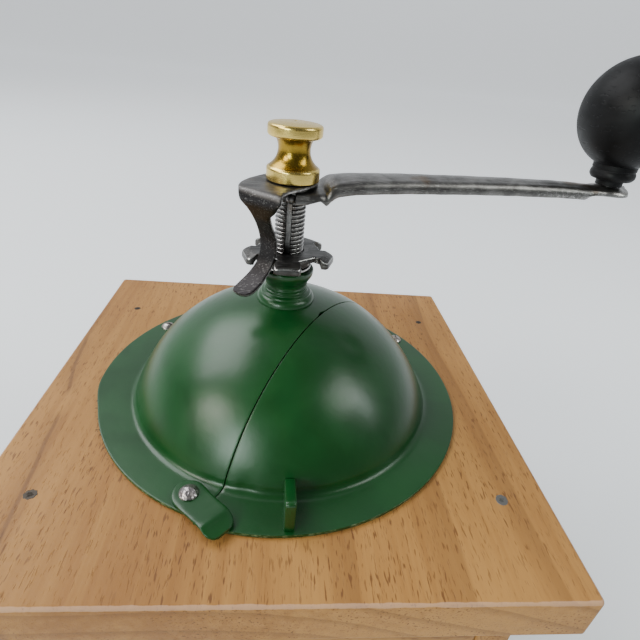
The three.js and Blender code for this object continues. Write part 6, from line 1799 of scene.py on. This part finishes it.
@dataclass
class Studio:
    """Pale floor, soft window-like lights and the camera at the photograph's angle."""

    finishes: Finishes
    lamps: tuple[Lamp, ...] = (
        Lamp("window_left_low", -123, 17, 1.1, (0.36, 0.30), 5.5, (0.86, 1.0, 0.95)),
        Lamp("window_left_high", -148, 28, 1.1, (0.40, 0.34), 5.0, (1.0, 0.95, 0.88)),
        Lamp("window_right_high", -21, 41, 1.1, (0.46, 0.36), 2.9, (0.97, 1.0, 0.97)),
        Lamp("window_right_low", -14, 26, 1.1, (0.18, 0.36), 1.3, (0.9, 1.0, 0.97)),
        Lamp("sky", 158, 50, 1.7, (1.3, 1.0), 26.0, (0.97, 0.985, 1.0)))
    aim: tuple[float, float, float] = (0.0, 0.0, 0.14)
    floor_front: float = -5.0
    floor_back: float = 4.0
    floor_half: float = 7.0
    floor_curve: float = 1.2
    floor_top: float = 4.5
    dusk: tuple[float, float, float] = (0.13, 0.137, 0.143)
    daylight: tuple[float, float, float] = (0.66, 0.69, 0.72)
    daylight_from: float = -0.1
    daylight_to: float = 0.6
    lens: float = 26.01
    film: float = 36.0
    eye: tuple[float, float, float] = (-2.8106, -129.7760, 217.442)
    right: tuple[float, float, float] = (0.9942030665, -0.0578205045, 0.0906479559)
    down: tuple[float, float, float] = (0.0487552458, -0.5089839254, -0.8593941411)
    ahead: tuple[float, float, float] = (0.0958289552, 0.8588318537, -0.5032143265)

    def camera(self) -> None:
        """Sets the camera from its three axes and its place."""
        data = bpy.data.cameras.new("camera")
        data.lens, data.sensor_width, data.clip_start = self.lens, self.film, 0.01
        data.sensor_fit = "HORIZONTAL"
        camera = bpy.data.objects.new("camera", data)
        axes = np.array([self.right, -np.array(self.down), -np.array(self.ahead)]).T
        matrix = np.eye(4)
        matrix[:3, :3], matrix[:3, 3] = axes, np.array(self.eye) * MM
        camera.matrix_world = Matrix(matrix.tolist())
        bpy.context.scene.collection.objects.link(camera)
        bpy.context.scene.camera = camera

    def light(self, lamp: Lamp) -> None:
        """Sets up an area light that looks at the dome.

        Args:
            lamp: its place, size, power and colour.
        """
        data = bpy.data.lights.new(lamp.name, "AREA")
        data.shape, data.size, data.size_y = "RECTANGLE", *lamp.size
        data.energy, data.color = lamp.power, lamp.colour
        light = bpy.data.objects.new(lamp.name, data)
        a, e = np.radians(lamp.azimuth), np.radians(lamp.elevation)
        away = Vector((np.cos(e) * np.cos(a), np.cos(e) * np.sin(a), np.sin(e))) * lamp.distance
        light.location = Vector(self.aim) + away
        light.rotation_euler = away.to_track_quat("Z", "Y").to_euler()
        bpy.context.scene.collection.objects.link(light)

    def floor(self) -> None:
        """A wide pale floor at z = 0 that rises behind the object in a quarter circle into a backdrop."""
        back, curve = self.floor_back, self.floor_curve
        turn = np.radians(np.linspace(-90, 0, 16))[1:]
        y = np.concatenate([[self.floor_front], np.linspace(-3, back, 12)])
        z = np.concatenate([np.zeros(len(y)), curve + curve * np.sin(turn), [self.floor_top]])
        y = np.concatenate([y, back + curve * np.cos(turn), [back + curve]])
        x = np.linspace(-self.floor_half, self.floor_half, 8)[None, :]
        grid = np.stack([x + 0 * y[:, None], y[:, None] + 0 * x, z[:, None] + 0 * x], 2)
        mesh = bpy.data.meshes.new("floor")
        mesh.from_pydata(grid.reshape(-1, 3).tolist(), [], grid_quads(*grid.shape[:2]))
        mesh.shade_smooth()
        mesh.materials.append(Paper(self.finishes.groups, "backdrop").material())
        floor = bpy.data.objects.new("floor", mesh)
        bpy.context.scene.collection.objects.link(floor)

    def build(self) -> None:
        """Sets the camera, the floor, the lights and the pale surroundings."""
        self.camera()
        self.floor()
        for lamp in self.lamps:
            self.light(lamp)
        world = bpy.data.worlds.new("pale_room")
        world.use_nodes = True
        t = Tree(world.node_tree)
        _, behind, _ = t.split(t.add("TexCoord").outputs["Generated"])
        back = world.node_tree.nodes["Background"]
        share = t.band(behind, self.daylight_from, self.daylight_to)
        t.tree.links.new(t.mix(share, self.dusk, self.daylight), back.inputs[0])
        back.inputs[1].default_value = 1.0
        bpy.context.scene.world = world


def main() -> None:
    logging.basicConfig(level=logging.INFO, format="%(name)s %(message)s")
    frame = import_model()
    finishes = Finishes()
    Studio(finishes).build()
    dome = Dome(finishes)
    for assembly in (Case(finishes), Drawer(finishes), dome, Latch(finishes), Neck(finishes, dome),
                     Spindle(finishes), Crank(finishes), Knob(finishes), MillWorks(finishes, frame)):
        assembly.build()
        LOG.info("%s built", type(assembly).__name__)


if __name__ == "__main__":
    main()
